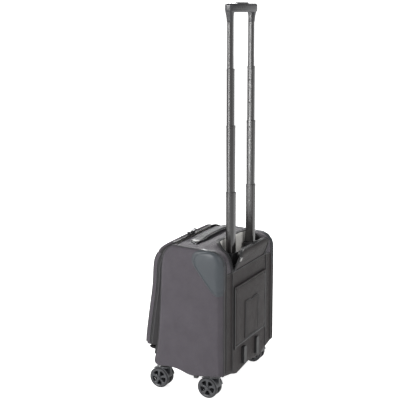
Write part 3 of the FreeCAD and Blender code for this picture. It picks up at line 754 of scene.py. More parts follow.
def build_case_trim():
    """Seam piping of the case: round each side, and beside the recessed bands of the back."""
    b = Build()
    seam, _ = edge_line(0, I_REAR_FOOT + 2, 0.26, 0.5, 0.0)
    b.tube(seam, 1.5)
    foot, _ = edge_line(I_REAR_FOOT + 2, len(LOOP) - 1, 0.3, 0.4)
    b.tube(foot, 1.6)
    for x, start in ((141.5, S_FOLD - 34), (105.5, S_FOLD)):
        line, _ = on_wrap([(x, v) for v in np.linspace(start, LOOP_S[I_REAR_FOOT] - 4, 70)], 0.6)
        b.tube(line, 1.5)
    fold = [wrap_point(x, S_FOLD + 3)[0] + np.array([0, 0.5, 0]) for x in np.linspace(0, 141, 30)]
    b.tube(np.array(fold), 1.3)
    b.mirrored()
    b.piece("case_piping", "case", [PIPING], "nylon_cloth")
    s = Build()
    seam, ups = edge_line(0, index_at(40, TOP_Z), 0.42, 0.0)
    add_stitches(s, seam, ups)
    seam, ups = edge_line(index_at(REAR_Y, 280), I_REAR_FOOT, 0.22, 0.0)
    add_stitches(s, seam, ups)
    for x in (142.8, 103.0):
        line, ups = on_wrap([(x, v) for v in np.linspace(S_FOLD + 4, LOOP_S[I_REAR_FOOT] - 10, 60)])
        add_stitches(s, line, ups)
    s.mirrored()
    line, ups = on_wrap([(x, S_FOLD + 8) for x in np.linspace(-97, 97, 60)])
    add_stitches(s, line, ups)
    s.piece("case_stitching", "case", [THREAD], "nylon_cloth")


build_case_trim()


PULL_X = (46.0, 63.0)


def main_zip_line(offset):
    """The U of the front opening: up the left side, over the top, and down the right side."""
    groove = smooth_curve(GROOVE, 80)[::-1]
    n = normals_2d(groove)
    if n[40][0] > 0:
        n = -n
    side = groove + n * offset
    side = side[side[:, 1] > 96]
    left = [(SEAM_X + 1.0, y, z) for y, z in side if z < 399]
    ups = [(1.0, 0.0, 0.0)] * len(left)
    y0 = -38.2 - offset
    r = 13.0
    for a in np.radians(np.linspace(0, 90, 9)):
        mix = math.sin(a)
        left.append((SEAM_X + 1.0 - r * (1 - math.cos(a)), left[-1][1] * 0.5 + y0 * 0.5 if mix < 0.99 else y0,
                     399 + 12.4 * mix))
        ups.append(tuple(unit([math.cos(a), 0.0, math.sin(a) + 0.05])))
    half, up, mirror = np.array(left), np.array(ups), np.array([-1.0, 1.0, 1.0])
    whole = np.concatenate([half, (half * mirror)[::-1]])
    up = np.concatenate([up, (up * mirror)[::-1]])
    s = arc_length(whole)
    places = np.linspace(0, s[-1], 300)
    return read_off(places, s, whole), unit(read_off(places, s, up))


def slider(b, at, way, up, pull, mat=2):
    """A zip slider: a waisted body with a bridge, and a pull of the given length that lies along the way."""
    way, up = unit(way), unit(up)
    across = np.cross(up, way)
    loops = []
    for along, half in ((-5.5, 2.2), (-3, 3.4), (1, 3.6), (5.5, 4.2)):
        low, high = [[at + way * along + across * w * half + up * h for w in (-1.0, -0.6, 0.6, 1.0)]
                     for h in (0.0, 3.2)]
        loops.append(low + high[::-1])
    b.loft(loops, mat)
    bridge = [at + (way * u + up * h) for u, h in ((-3.5, 3.0), (-3, 5.2), (0, 5.9), (3, 5.2), (3.5, 3.0))]
    b.sweep(bridge, across, rounded_rect(0.9, 2.0, 0.3), mat)
    tab = [at + up * 4.6 + way * u + up * h
           for u, h in ((0, 0), (pull * 0.3, -0.6), (pull * 0.7, -1.6), (pull, -2.0))]
    b.sweep(tab, up, rounded_rect(4.6, 1.3, 0.6), mat)
    b.lathe([(1.2, -0.9), (2.9, -0.9), (2.9, 0.9), (1.2, 0.9)], tab[-1] + way * 2.4, up, 18, mat)

def build_main_zipper():
    b = Build()
    path, ups = main_zip_line(0.4)
    b.sweep(path, ups, rounded_rect(5.0, 0.8, 0.3), 0)
    add_teeth(b, main_zip_line(1.6)[0], ups, -1)
    piping, ups = main_zip_line(-1.6)
    b.tube(piping + ups * 0.4, 1.5, 3)
    for x in PULL_X:
        slider_body(b, x)
    b.piece("main_zipper_case_side", "case", [TAPE, TEETH, DARK_METAL, PIPING], "zipper", ("main_zipper",), 45)
    d = Build()
    path, ups = main_zip_line(5.0)
    d.sweep(path, ups, rounded_rect(5.2, 0.8, 0.3), 0)
    add_teeth(d, main_zip_line(3.1)[0], ups, 1)
    d.piece("main_zipper_door_side", "door", [TAPE, TEETH], "zipper")


def slider_body(b, x):
    """The main zip's slider, which holds the pull's pin between two ears."""
    y, z = -39.5, 417.4
    loops = []
    for u, half in ((-6.0, 3.6), (-4.5, 5.0), (0, 4.4), (4.5, 5.0), (6.0, 3.6)):
        loops.append([(x + u, y + half * c, z - 2 + 2 * s) for c, s in
                      ((-1, -0.8), (-0.8, -1), (0.8, -1), (1, -0.8), (1, 0.8), (0.8, 1), (-0.8, 1), (-1, 0.8))])
    b.loft(loops, 2)
    for k in (-5.2, 5.2):
        ear = [(x - 1.9, y + k, z - 0.6), (x - 1.6, y + k, z + 2.6), (x, y + k, z + 3.5), (x + 1.6, y + k, z + 2.6),
               (x + 1.9, y + k, z - 0.6)]
        b.sweep(ear, (0, 1, 0), rounded_rect(1.2, 0.8, 0.25), 2)
    b.tube([(x, y - 5.6, z + 2.0), (x, y, z + 2.0), (x, y + 5.6, z + 2.0)], 0.8, 2, sides=12)


build_main_zipper()


# ---- front door: a padded shell with gussets, and the organiser panel on it ----

def face_line(offset, first=0.0, last=1.0, count=80):
    """The door's front line in (y, z), moved inwards by an offset, between two shares of its length."""
    p = resample(smooth_curve(FACE, 160), 200)
    n = normals_2d(p)
    if n[100][0] < 0:
        n = -n
    p = p + n * offset
    a, b = int(first * 199), int(last * 199)
    return resample(p[a:b + 1], count)


SPLIT = 0.145            # share of the front line above the organiser panel


def build_door():
    """The door's sides with their piping, its top above the organiser panel, and its foot."""
    b = Build()
    groove = smooth_curve(GROOVE[:-1], 80)
    n = normals_2d(groove)
    n = n if n[40][0] < 0 else -n
    inner = resample(groove + n * 2.2, 60)
    outer = face_line(7.0, 0.0, 1.0, 60)
    rows = []
    for k, (a, c) in enumerate(zip(inner, outer)):
        row = []
        total = float(np.linalg.norm(c - a))
        for v in np.linspace(0, 1, 14):
            y, z = a + (c - a) * v
            tuck = smoothstep(total * v - total, -12.0, -9.0) * smoothstep(k / 59, SPLIT * 0.7, SPLIT * 1.15)
            row.append((DOOR_X + 3.0 + 1.6 * math.sin(math.pi * v) - 3.6 * tuck, y, z))
        rows.append(row)
    b.grid(rows)
    roll = face_line(23.0, 0.02, 0.985, 80)
    b.tube([(DOOR_X + 4.6, y, z) for y, z in roll], 2.8, 2)
    b.mirrored()
    half, r = 155.0, 7.0
    top = face_line(0.0, 0.0, SPLIT + 0.01, 14)
    inward = face_line(1.0, 0.0, SPLIT + 0.01, 14) - top
    xs = [(-half + r * (1 - math.cos(a)), 1 - math.sin(a)) for a in np.radians(np.linspace(0, 90, 6))]
    xs += [(x, 0.0) for x in np.linspace(r - half, half - r, 30)[1:-1]] + [(-x, w) for x, w in reversed(xs)]
    lead = [[(x, -43.5, 411.0 - w * r + 0.4) for x, w in xs]]
    rows = [[(x, p[0] + q[0] * w * r, p[1] + q[1] * w * r + 1.5 * (1 - (x / half) ** 2)) for x, w in xs]
            for p, q in zip(top, inward)]
    b.grid(lead + rows)
    foot = [[(x, y, z) for x in np.linspace(-DOOR_X, DOOR_X, 20)] for y, z in
            ((-90.5, 107.5), (-96, 107.0), (-108, 108.0), (-114, 110.0), (-117, 114.5))]
    b.grid(foot)
    shell = b.piece("door_shell", "door", [CLOTH, DARK_LINING_AND_SHADE, PIPING], "nylon_cloth", ("door_gussets",), 50, 0.3)
    thicken(shell, 1.8, 1)


PANEL_HALF, PANEL_R = 156.3, 6.0     # half the organiser panel's width, and the rounding of its sides
PANEL_ZIPS = (0.30, 0.60)            # its two zips, as shares of its height

def build_front_panel():
    """Organiser panel: crowned outer face, rounded sides that wrap back, and an inner face."""
    line = face_line(0.0, SPLIT, 1.0, 60)
    back = face_line(1.0, SPLIT, 1.0, 60) - line
    steps = [(PANEL_HALF, 15.0), (PANEL_HALF, 11.0)]
    steps += [(PANEL_HALF - PANEL_R * (1 - math.cos(a)), PANEL_R * (1 - math.sin(a)))
              for a in np.radians(np.linspace(0, 90, 6))]
    xs = steps + [(x, 0.0) for x in np.linspace(PANEL_HALF - PANEL_R, -PANEL_HALF + PANEL_R, 44)[1:-1]]
    xs += [(-x, d) for x, d in reversed(steps)]
    rows = []
    for k, (p, q) in enumerate(zip(line, back)):
        v = k / 59
        edge = smoothstep(v, 0, 0.03) * (1 - smoothstep(v, 0.95, 1.0))
        row = []
        for x, d in xs:
            crown = (1.6 * (1 - (x / PANEL_HALF) ** 2) + 0.5 * sag(x, p[1] * 1.3)) * edge
            for seam in PANEL_ZIPS:
                crown -= 1.2 * math.exp(-((v - seam) / 0.012) ** 2) * (1 - smoothstep(abs(x), 138, 146))
            depth = d - crown + 2.2 * (1 - edge)
            row.append((x, p[0] + q[0] * depth, p[1] + q[1] * depth))
        rows.append(row)
    b = Build()
    b.grid(rows)
    panel = b.piece("organiser_panel", "front_panel", [CLOTH, DARK_LINING_AND_SHADE], "nylon_cloth", ("front_panel",), 50)
    thicken(panel, 3.2, 1)
    t = Build()
    up = (0, -1, 0.1)
    for seam in PANEL_ZIPS:
        p = face_line(-0.6, 0.0, 1.0, 200)[int((SPLIT + seam * (1 - SPLIT)) * 199)]
        path = np.array([(x, p[0] - 1.0 * (1 - (x / PANEL_HALF) ** 2), p[1]) for x in np.linspace(-134, 134, 40)])
        t.sweep(path, up, rounded_rect(9.0, 0.8, 0.3), 0)
        for side in (-1, 1):
            add_teeth(t, path, up, side)
        slider(t, path[3] + np.array([0, -1.4, 0]), (1, 0, 0), up, 16.0)
        for side in (1, -1):
            cuff = [(path[0] + np.array([u, -0.6, 0])) * np.array([side, 1, 1]) for u in (-1, 3)]
            t.sweep(cuff, up, rounded_rect(10.0, 1.6, 0.5), 3)
    t.piece("organiser_zippers", "front_panel", [TAPE, TEETH, DARK_METAL, PIPING], "zipper")
    e = Build()
    for x, behind, start, radius in ((PANEL_HALF + 0.2, 13.6, 0.01, 1.4), (PANEL_HALF - 2.4, 1.0, 0.02, 1.2)):
        e.tube([(x, y, z) for y, z in face_line(behind, SPLIT + start, 0.985, 70)], radius)
    e.mirrored()
    e.piece("organiser_piping", "front_panel", [PIPING], "nylon_cloth")
    s = Build()
    line = face_line(0.0, SPLIT + 0.02, 0.98, 70)
    add_stitches(s, [(146.0, y - 0.3, z) for y, z in line], up)
    s.mirrored()
    s.piece("organiser_stitching", "front_panel", [THREAD], "nylon_cloth")
    z = Build()
    side = face_line(17.4, SPLIT, 0.99, 80)
    path = np.array([(156.4, y, zz) for y, zz in side])
    z.sweep(path, (1, 0, 0), rounded_rect(4.0, 0.8, 0.3), 0)
    for row in (-1, 1):
        add_teeth(z, path, (1, 0, 0), row, lift=0.6)
    z.mirrored()
    z.piece("front_zipper_teeth", "door", [TAPE, TEETH], "zipper", ("front_zipper",))


build_door()
build_front_panel()


# ---- well behind the main compartment: lining, zipper round its mouth, and the flap ----

def build_well():
    line, _ = on_wrap(well_edge(-1.5, 120), -0.5)
    rows = []
    for x, y, z in line:
        drop = max(z - (FOLD_Z + 1.5), 0.0)
        row = []
        for v in np.linspace(0, 1, 10):
            ripple = 0.9 * math.sin(x / 9.0 + 1.7 * v) * math.sin(math.pi * v)
            row.append((x * (1 - 0.004 * v), min(y - 0.5, 103.0) + (ripple if y < 75 else 0.0), z - drop * v))
        rows.append(row)
    b = Build()
    b.grid(rows)
    floor_y = np.linspace(61, 103, 6)
    for x0, x1 in ((-98.6, -87.5), (87.5, 98.6)):
        b.grid([[(x, y, FOLD_Z + 1.5) for x in (x0, x1)] for y in floor_y])
    liner = b.piece("well_lining", "case", [LINING, DARK_LINING_AND_SHADE], "lining", sharp=60)
    # Painted shade: the well lining's rear part and far end take the dark lining to stand in for the shade deep in
    # the well, and only its front wall stays pale.
    for poly in liner.data.polygons:
        if poly.center.y > 0.068 or poly.center.x < -0.074:
            poly.material_index = 1
    thicken(liner, 0.8)


def build_flap_zipper():
    b = Build()
    path, ups = on_wrap(well_edge(4.5, 260), 0.5)
    b.sweep(path, ups, rounded_rect(10.5, 1.3, 0.5), 0)
    mid, _ = on_wrap(well_edge(0.6, 260), 1.0)
    add_teeth(b, mid, ups, 1, gap=0.2, lift=0.5)
    rim, _ = on_wrap(well_edge(9.6, 260), 0.6)
    b.tube(rim, 1.3, 2)
    seam, _ = on_wrap(well_edge(7.4, 260), 1.15)
    add_stitches(b, seam, ups, 3)
    b.piece("well_zipper", "case", [TAPE, TEETH, PIPING, THREAD], "zipper", ("flap_zipper",), 45)


FLAP_LINE = [(REAR_Y + out, FOLD_Z + up) for out, up in
             ((-1.5, -6), (1.4, 2), (5.6, 12), (10.2, 24), (14.6, 36), (14.2, 43), (10.0, 47.5), (6.5, 48.5))]
FLAP_CURVE = resample(smooth_curve(FLAP_LINE, 120), 160)
FLAP_LENGTH = float(np.linalg.norm(np.diff(FLAP_CURVE, axis=0), axis=1).sum())
FLAP_OUT = -normals_2d(FLAP_CURVE) if normals_2d(FLAP_CURVE)[60][0] < 0 else normals_2d(FLAP_CURVE)


def flap_point(x, u, lift):
    """Point on the flap at x and at the length u from its fold, lifted outwards."""
    k = np.clip(u / FLAP_LENGTH, 0, 1) * 159
    p = [np.interp(k, range(160), FLAP_CURVE[:, i]) for i in (0, 1)]
    n = unit([np.interp(k, range(160), FLAP_OUT[:, i]) for i in (0, 1)])
    return np.array([x, p[0] + n[0] * lift, p[1] + n[1] * lift]), np.array([0.0, n[0], n[1]])


def flap_edge(inset, count):
    """The flap's outline in (x, u) with its round corners, from the fold on the right to the left."""
    w, top, r = FLAP_X - inset, FLAP_LENGTH - inset, FLAP_R - inset
    points = [(-w, 0.0)]
    for start, cx in ((180, -w + r), (90, w - r)):
        for i in range(13):
            a = math.radians(start - 90 * i / 12)
            points.append((cx + r * math.cos(a), top - r + r * math.sin(a)))
    points.append((w, 0.0))
    return resample(points, count)


def flap_rim(inset, lift):
    """Points and normals along the flap's outline, from a little above the fold."""
    pairs = [flap_point(x, u, lift) for x, u in flap_edge(inset, 220) if u >= 2]
    return np.array([p for p, _ in pairs]), np.array([n for _, n in pairs])

def build_flap():
    rows = []
    outline = flap_edge(0.0, 400)
    for u in np.linspace(0, FLAP_LENGTH, 30):
        near = outline[np.abs(outline[:, 1] - u) < 1.6]
        reach = np.abs(near[:, 0]).max() if len(near) else FLAP_X - FLAP_R
        if u > FLAP_LENGTH - FLAP_R:
            reach = FLAP_X - FLAP_R + math.sqrt(max(0.0, FLAP_R ** 2 - (u - FLAP_LENGTH + FLAP_R) ** 2))
        row = []
        for x in np.linspace(-1, 1, 61) * reach:
            side = 1 - smoothstep(abs(x) / max(reach, 1), 0.86, 1.0)
            pad = 1.5 * side * smoothstep(u, 8, 20) * (1 - smoothstep(u, FLAP_LENGTH - 7, FLAP_LENGTH))
            wave = 0.7 * math.sin(x / 19.0 + u / 13.0) * side
            row.append(flap_point(x, u, pad + wave * smoothstep(u, 6, 20))[0])
        rows.append(row)
    b = Build()
    b.grid(rows)
    flap = b.piece("flap_cloth", None, [SHADED_REAR_CLOTH, DARK_LINING_AND_SHADE], "nylon_cloth", ("rear_flap",), 60)
    thicken(flap, 2.2, 1)
    trim = Build()
    path, ups = flap_rim(1.0, 0.3)
    trim.sweep(path, ups, rounded_rect(7.0, 2.6, 0.8), 0)
    add_teeth(trim, resample(flap_rim(-2.2, -0.6)[0], len(path)), ups, -1, gap=0.3, lift=0.5)
    trim.tube(resample(flap_rim(5.0, 1.4)[0], 160), 1.2, 2)
    flap_trim = trim.piece("flap_trim", None, [TAPE, TEETH, PIPING], "zipper", sharp=45)
    for obj in (flap, flap_trim):
        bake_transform(obj)


build_well()
build_flap_zipper()
build_flap()


# ---- padded pieces ----

def pad(name, outline, place, thick, crown, mats, slot, body, replaces=(), channels=None, rings=9, fill=0.5,
        sim=None):
    """A crowned pad: outline is a closed line in (u, v), place turns (u, v, w) into a point."""
    outline = np.array(outline, float)
    centre = outline.mean(axis=0)
    r = thick / 2
    rows = []
    for p, n in zip(outline, normals_2d(outline, True)):
        if np.dot(n, p - centre) < 0:
            n = -n
        row = [place(*centre, 0.0)]
        for f in np.linspace(0.2, 1, 6):
            q = centre + (p - n * r * 0.6 - centre) * f
            row.append(place(q[0], q[1], 0.0))
        for a in np.radians(np.linspace(-60, 60, 5)):
            q = p - n * r * 0.6 * (1 - math.cos(a))
            row.append(place(q[0], q[1], r + r * math.sin(a)))
        for f in np.linspace(1, 0, rings + 1):
            q = centre + (p - n * r * 0.6 - centre) * f
            w = thick + crown * (1 - f ** 3)
            if channels is not None:
                w += channels(q[0], q[1]) * smoothstep(1 - f, 0.0, 0.12)
            row.append(place(q[0], q[1], w))
        rows.append(row)
    b = Build()
    b.grid(rows, close_rows=True)
    obj = b.piece(name, body, mats, slot, replaces, 60, 0.3)
    if sim:
        puff(obj, *sim)
    return obj


def rounded_outline(x0, x1, z0, z1, r, spacing=6.0):
    shape = [(x0 + x1 + 2 * px, z0 + z1 + 2 * pz) for px, pz in rounded_rect(x1 - x0, z1 - z0, r, 6)]
    half = np.array(shape) / 2
    length = np.linalg.norm(np.diff(half, axis=0), axis=1).sum()
    return resample(np.concatenate([half, half[:1]]), int(length / spacing) + 1)[:-1]


def build_sleeve():
    """Trolley sleeve panel on the back, with bound edges, and the pocket on it."""
    """The padded sleeve on the back with its bindings, and the pocket for a name card on it."""
    outline = rounded_outline(-94.5, 94.5, 130, 293, 7)
    y0 = REAR_Y + 0.3
    pad("sleeve_pad", outline, lambda u, v, w: (u, y0 + w, v), 3.6, 1.4, [SHADED_REAR_CLOTH], "nylon_cloth", "case",
        ("rear_sleeve",), fill=0.35, sim=(3.0, 2.0, 1.2))
    b = Build()
    top = [(x, REAR_Y + 4.4, 293.5) for x in np.linspace(-94, 94, 30)]
    b.sweep(top, (0, 1, 0), rounded_rect(6.0, 3.4, 1.2), 0)
    for side in (-1, 1):
        edge = [(side * 95.0, REAR_Y + 2.4, z) for z in np.linspace(124, 296, 30)]
        b.sweep(edge, (0, 1, 0), rounded_rect(4.6, 4.4, 1.4), 1)
    low = [(x, REAR_Y + 2.6, 129.5) for x in np.linspace(-94, 94, 30)]
    b.sweep(low, (0, 1, 0), rounded_rect(4.6, 3.0, 1.2), 1)
    for z in (289.0, 134.0):
        add_stitches(b, [(x, REAR_Y + 5.2, z) for x in np.linspace(-90, 90, 40)], (0, 1, 0), 2)
    b.piece("sleeve_binding", "case", [SHADED_REAR_CLOTH, PIPING, THREAD], "nylon_cloth")
    y1 = REAR_Y + 6.2
    corners = [(-41, 137), (41, 137), (41, 242), (11, 242), (8, 238), (-8, 238), (-11, 242), (-41, 242)]
    path = closed_smooth(resample(corners + corners[:1], 120)[:-1], 2.0, 3.0)
    pad("id_pocket_pad", path, lambda u, v, w: (u, y1 + w, v), 1.4, 0.5, [SHADED_REAR_CLOTH], "nylon_cloth", "case",
        ("id_pocket",), fill=0.2)
    t = Build()
    t.tube([(u, y1 + 1.3, v) for u, v in path], 1.1, closed=True)
    inner = resample(path, 110)
    mid = path.mean(axis=0)
    line = [(mid[0] + (u - mid[0]) * 0.9, y1 + 2.2, mid[1] + (v - mid[1]) * 0.93) for u, v in inner]
    add_stitches(t, line, (0, 1, 0), 1)
    t.piece("id_pocket_trim", "case", [PIPING, THREAD], "nylon_cloth")


QUILT_PITCH = 52.0

def quilt(x, z):
    """Dents of the quilting lines, which cross at every QUILT_PITCH."""
    return -0.9 * sum(math.exp(-((u % QUILT_PITCH - QUILT_PITCH / 2) / 2.2) ** 2) for u in (x, z))

def build_lining():
    """Lined inner faces of the sides and the top."""
    b = Build()
    rows = []
    for point, out, crease in zip(LOOP, LOOP_OUT, CREASE):
        p = point - out * (1.6 + 4.4 * crease)
        rows.append([(158.3, *(MIDDLE + (p - MIDDLE) * f)) for f in (1.0, 0.97, 0.8, 0.6, 0.4, 0.2, 0.0)])
    b.grid(rows, close_rows=True)
    b.mirrored()
    b.piece("side_lining", "case", [LINING], "lining", sharp=60, merge=0.3)
    roof = Build()
    roof.grid([[wrap_point(x, v)[0] - np.array([0, 0, 4.2]) for x in np.linspace(-157, 157, 40)]
               for v in np.linspace(1.0, S_WELL - 3, 12)])
    roof.piece("roof_lining", "case", [LINING], "lining")

def build_pocket():
    """The padded rear wall, and the laptop pocket with its binding, its sides and its strap."""
    pad("rear_wall_pad", rounded_outline(-156, 156, 86, 397, 5), lambda u, v, w: (u, 59.8 - w, v), 3.2, 0.4,
        [LINING], "lining", "case", ("rear_wall",), lambda x, z: 0.45 * quilt(x, z), 18, 0.3)
    pad("pocket_pad", rounded_outline(-149, 149, 94, 328, 9), lambda u, v, w: (u, 27.0 - w, v), 4.0, 0.8,
        [LINING], "lining", "case", ("laptop_sleeve",), quilt, 18, 0.4, sim=(3.6, 2.0, 1.0))
    t = Build()
    top = [(x, 25.0, 329.0) for x in np.linspace(-146, 146, 40)]
    t.sweep(top, (0, -1, 0), rounded_rect(8.0, 6.4, 2.4), 0)
    for side_x in (-148.4, 148.4):
        wall = [[(side_x + 0.8 * math.sin(v * 9), y, z) for y in np.linspace(26, 55.6, 6)]
                for v, z in zip(np.linspace(0, 3, 16), np.linspace(93, 320, 16))]
        t.grid(wall, 1)
    t.grid([[(x, y, 94.0) for x in np.linspace(-147, 147, 20)] for y in (27, 40, 55.6)], 1)
    strap = [(0, y, z) for y, z in ((58.0, 300), (54.0, 326), (46.0, 336), (34, 337), (24, 334), (20.2, 322),
                                    (20.0, 300), (20.2, 284))]
    t.sweep(smooth_curve(strap, 50), (1, 0, 0), rounded_rect(1.6, 38.0, 0.6), 2)
    t.piece("pocket_trim", "case", [PIPING, DARK_LINING_AND_SHADE, ELASTIC], "lining")

def build_divider():
    """The door's padded divider, quilted on the side that faces the laptop, and its webbing."""
    groove = smooth_curve([(-47.5, 401.5)] + GROOVE[1:-1], 60)
    out = normals_2d(groove)
    out = out if out[30][0] < 0 else -out
    rows = []
    for side, order in ((2.3, 1), (4.9, -1)):
        for x in np.linspace(-150, 150, 50)[::order]:
            fade = smoothstep(150 - abs(x), 0, 8)
            row = []
            for k, (p, q) in enumerate(zip(groove, out)):
                d = side - 0.5 * quilt(x, k * 5.0) * fade if order > 0 else side
                row.append((x, p[0] + q[0] * d, p[1] + q[1] * d))
            rows.append(row)
    d = Build()
    d.grid(rows, close_rows=True)
    divider = d.piece("divider_pad", "door", [LINING], "lining", ("door_divider",), 60)
    m = Build()
    line = [(x, -68.2, 330.0) for x in np.linspace(-128, 128, 30)]
    m.sweep(line, (0, -1, 0.1), rounded_rect(8.0, 1.0, 0.3), 0)
    m.piece("divider_webbing", "door", [ELASTIC], "lining")


build_sleeve()
build_lining()
build_pocket()
build_divider()


# ---- carry handle ----

HANDLE_X = 98.0


def handle_mid(x):
    return 412.4 - 5.4 * (x / HANDLE_X) ** 2


def build_carry_handle():
    b = Build()
    rings = []
    for x in np.linspace(-HANDLE_X + 0.6, HANDLE_X - 0.6, 70):
        share = abs(x) / HANDLE_X
        high = 7.0 - 2.0 * share ** 2
        wide = 25.0 - 5.0 * smoothstep(share, 0.82, 1.0)
        tilt = 2 * 5.4 * x / HANDLE_X ** 2
        ring = []
        for u, v in rounded_rect(wide, high, high / 2 - 0.2, 5):
            v += 0.5 * (1 - (2 * u / wide) ** 2) * (1 if v > 0 else 0)
            ring.append((x + v * tilt, u, handle_mid(x) + v))
        rings.append(ring)
    b.loft(rings)
    handle = b.piece("handle_pad", "carry_handle", [HANDLE], "handle_pad", ("carry_handle",), 60)
    puff(handle, 3.4, 2.5, 0.8)
    t = Build()
    xs = np.linspace(-HANDLE_X + 4, HANDLE_X - 4, 60)
    for side in (-1, 1):
        t.tube([(x, side * (12.9 - 2.6 * smoothstep(abs(x), 80, 98)), handle_mid(x) + 0.4) for x in xs], 1.25, 0)
        line = [(x, side * 9.6, handle_mid(x) + 4.0 - 1.0 * (x / HANDLE_X) ** 2) for x in xs[4:-4]]
        add_stitches(t, line, (0, 0, 1), 1)
    for end in (-1, 1):
        for k in range(7):
            x = end * (62 + 5 * k)
            cross = [(x, y, handle_mid(x) + 3.5 - 1.1 * (x / HANDLE_X) ** 2 + 0.6 * (1 - (y / 12) ** 2))
                     for y in np.linspace(-10.5, 10.5, 9)]
            t.sweep(cross, (0, 0, 1), rounded_rect(2.0, 1.1, 0.5), 2)
        cap = [(end * x, 0, handle_mid(x) + 0.2) for x in (89.0, 93.0, 98.6)]
        t.sweep(cap, (0, 0, 1), rounded_rect(22.0, 6.6, 2.4), 3)
    t.piece("handle_trim", "carry_handle", [PIPING, THREAD, ELASTIC, MOULDED], "handle_pad")


def build_handle_ends():
    """Plate, loop and strap at each end of the carry handle."""
    z, up = 404.4, (0, 0, 1)
    for name, side in (("left", 1), ("right", -1)):
        b = Build()
        rows = []
        for u, v in rounded_rect(19.0, 25.6, 4.0, 5):
            rows.append([(side * 109.2 + u * wide, v * deep, z + lift) for wide, deep, lift in
                         ((1, 1, -1.5), (1, 1, 1.2), (0.95, 0.96, 1.9), (0.6, 0.6, 2.0), (0, 0, 2.0))])
        b.grid(rows, close_rows=True)
        for y in (-9.4, 9.4):
            b.lathe([(0.9, 1.2), (2.4, 1.2), (2.7, 2.4), (2.0, 3.2), (0.9, 3.2)], (side * 113.5, y, z), up, 20)
        ring = [(side * 103.5 + 3.2 * math.cos(a), 11.0 * math.copysign(abs(math.sin(a)) ** 0.55, math.sin(a)),
                 z + 4.6 + 2.0 * math.cos(a)) for a in np.linspace(0, 2 * math.pi, 37)[:-1]]
        b.tube(ring, 1.5, 1, closed=True, sides=10)
        rivet = (side * 110.5, 0, z)
        b.lathe([(1.6, 2.6), (4.6, 2.6), (5.4, 3.6), (4.6, 4.9), (2.2, 5.2), (1.6, 4.2)], rivet, up, 28)
        b.lathe([(0.01, 2.6), (1.7, 2.6), (1.7, 3.9), (0.01, 3.9)], rivet, up, 20, 1)
        nodes = ("handle_anchors",) if side > 0 else ()
        b.piece("handle_plate_" + name, "case", [DARK_METAL, SILVER], "anchor_metal", nodes, 40)
        s = Build()
        line = smooth_curve([(side * 112.5, 0, z + 2.4), (side * 107, 0, z + 3.0), (side * 101, 0, z + 4.4),
                             (side * 95, 0, 407.6)], 24)
        s.sweep(line, up, rounded_rect(17.0, 1.5, 0.5), 0)
        for y in (-6.6, 6.6):
            add_stitches(s, [p + np.array([0, y, 0.8]) for p in line[:14]], up, 1, 3.4, 0.1, 2.2)
        strap = s.piece("handle_strap_" + name, None, [ELASTIC, THREAD], "handle_pad")
        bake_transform(strap)

build_carry_handle()
build_handle_ends()


# ---- wheels ----

SPOKE = ((6.0, 7.4, 8.6), (8.6, 6.6, 8.0), (12.0, 6.4, 7.4), (15.5, 7.6, 7.6), (18.2, 10.8, 8.2),
         (20.4, 14.5, 8.6))     # radius, width and thickness

def build_wheel(corner, place):
    """Rim, hub and five spokes; the raised side of the hub and spokes looks away from the fork."""
    node = "wheel_%s_%s" % (corner, place)
    low, high = node_box(node)
    centre = (low + high) / 2
    radius = (high[2] - low[2]) / 2
    half = (high[0] - low[0]) / 2
    fork_low, fork_high = node_box("fork_" + corner)
    out = 1.0 if centre[0] > (fork_low[0] + fork_high[0]) / 2 else -1.0
    b = Build()
    rim = [(radius, -half)] + [(radius - deep, half - drop) for deep, drop in
                               ((0, 0), (0.6, 0.1), (1.4, 0.6), (3.0, 0.4), (4.2, 1.2), (4.9, 3.0))]
    rim += [(radius - 4.9, -half + 3.0), (radius - 4.2, -half + 1.0), (radius - 1.4, -half)]
    b.lathe(rim, centre, (out, 0, 0), 72)
    hub = [(2.56, -half), (2.56, half - 1.0), (4.4, half - 0.9), (5.2, half), (6.6, half - 0.2),
           (7.4, half - 1.6), (7.6, -half + 1.5), (6.8, -half)]
    b.lathe(hub, centre, (out, 0, 0), 48)
    for i in range(5):
        a = 2 * math.pi * i / 5 + 0.31
        way = np.array([0.0, math.cos(a), math.sin(a)])
        side = np.array([0.0, -math.sin(a), math.cos(a)])
        rings = []
        for r, wide, thick in SPOKE:
            ring = []
            for u, v in rounded_rect(wide, thick, min(wide, thick) * 0.24, 3):
                ridge = 0.7 * (1 - abs(2 * u / wide)) if v > 0 else 0.0
                bend = 0.9 * math.sin((r - 6) / 14.4 * math.pi)
                ring.append(centre + way * r + side * (u + bend) + np.array([out * (v + ridge), 0, 0]))
            rings.append(ring)
        b.grid(rings, close_cols=True)
    b.piece("wheel_disc_%s_%s" % (corner, place), node, [WHEEL], "wheel_plastic", (node,), 35)


CORNERS = ("front_right", "front_left", "rear_right", "rear_left")
for corner_name in CORNERS:
    for place_name in ("outer", "inner"):
        build_wheel(corner_name, place_name)


# ---- handle tubes ----

TUBE_OUT = 1.2      # the drawn tubes stand this much further out than the CAD ones
TUBE_LOOKS = ((14.3, -1.2), (16.9, -0.5), (19.6, 0.2), (22.4, 0.9), (25.0, 0.9))    # width and lean to the rear
LATCH_MARKS = ((), ((30.0, 1), (43.0, 2), (90.0, 1)), ((11.0, 1), (47.0, 2)), ((38.0, 2),), ())   # drop, material

def tube_section(stage, side, extra=0.0):
    """A tube's outline: flat toward the middle of the handle, rounded on the outside."""
    wide, lean = TUBE_LOOKS[stage - 1]
    half, radius, power = wide / 2 + extra, 2.4, 2 / 3.0
    points = []
    for i in range(5):
        a = math.radians(180 - 22.5 * i)
        points.append((-half + radius + radius * math.cos(a), half - radius + radius * math.sin(a)))
    for a in np.radians(np.linspace(90, 0, 13)):
        points.append((half * math.cos(a) ** power, half * math.sin(a) ** power))
    points += [(u, -v) for u, v in reversed(points[:-1])]
    return [(side * (TUBE_X + TUBE_OUT + u), TUBE_Y + lean + v) for u, v in points[::side]]

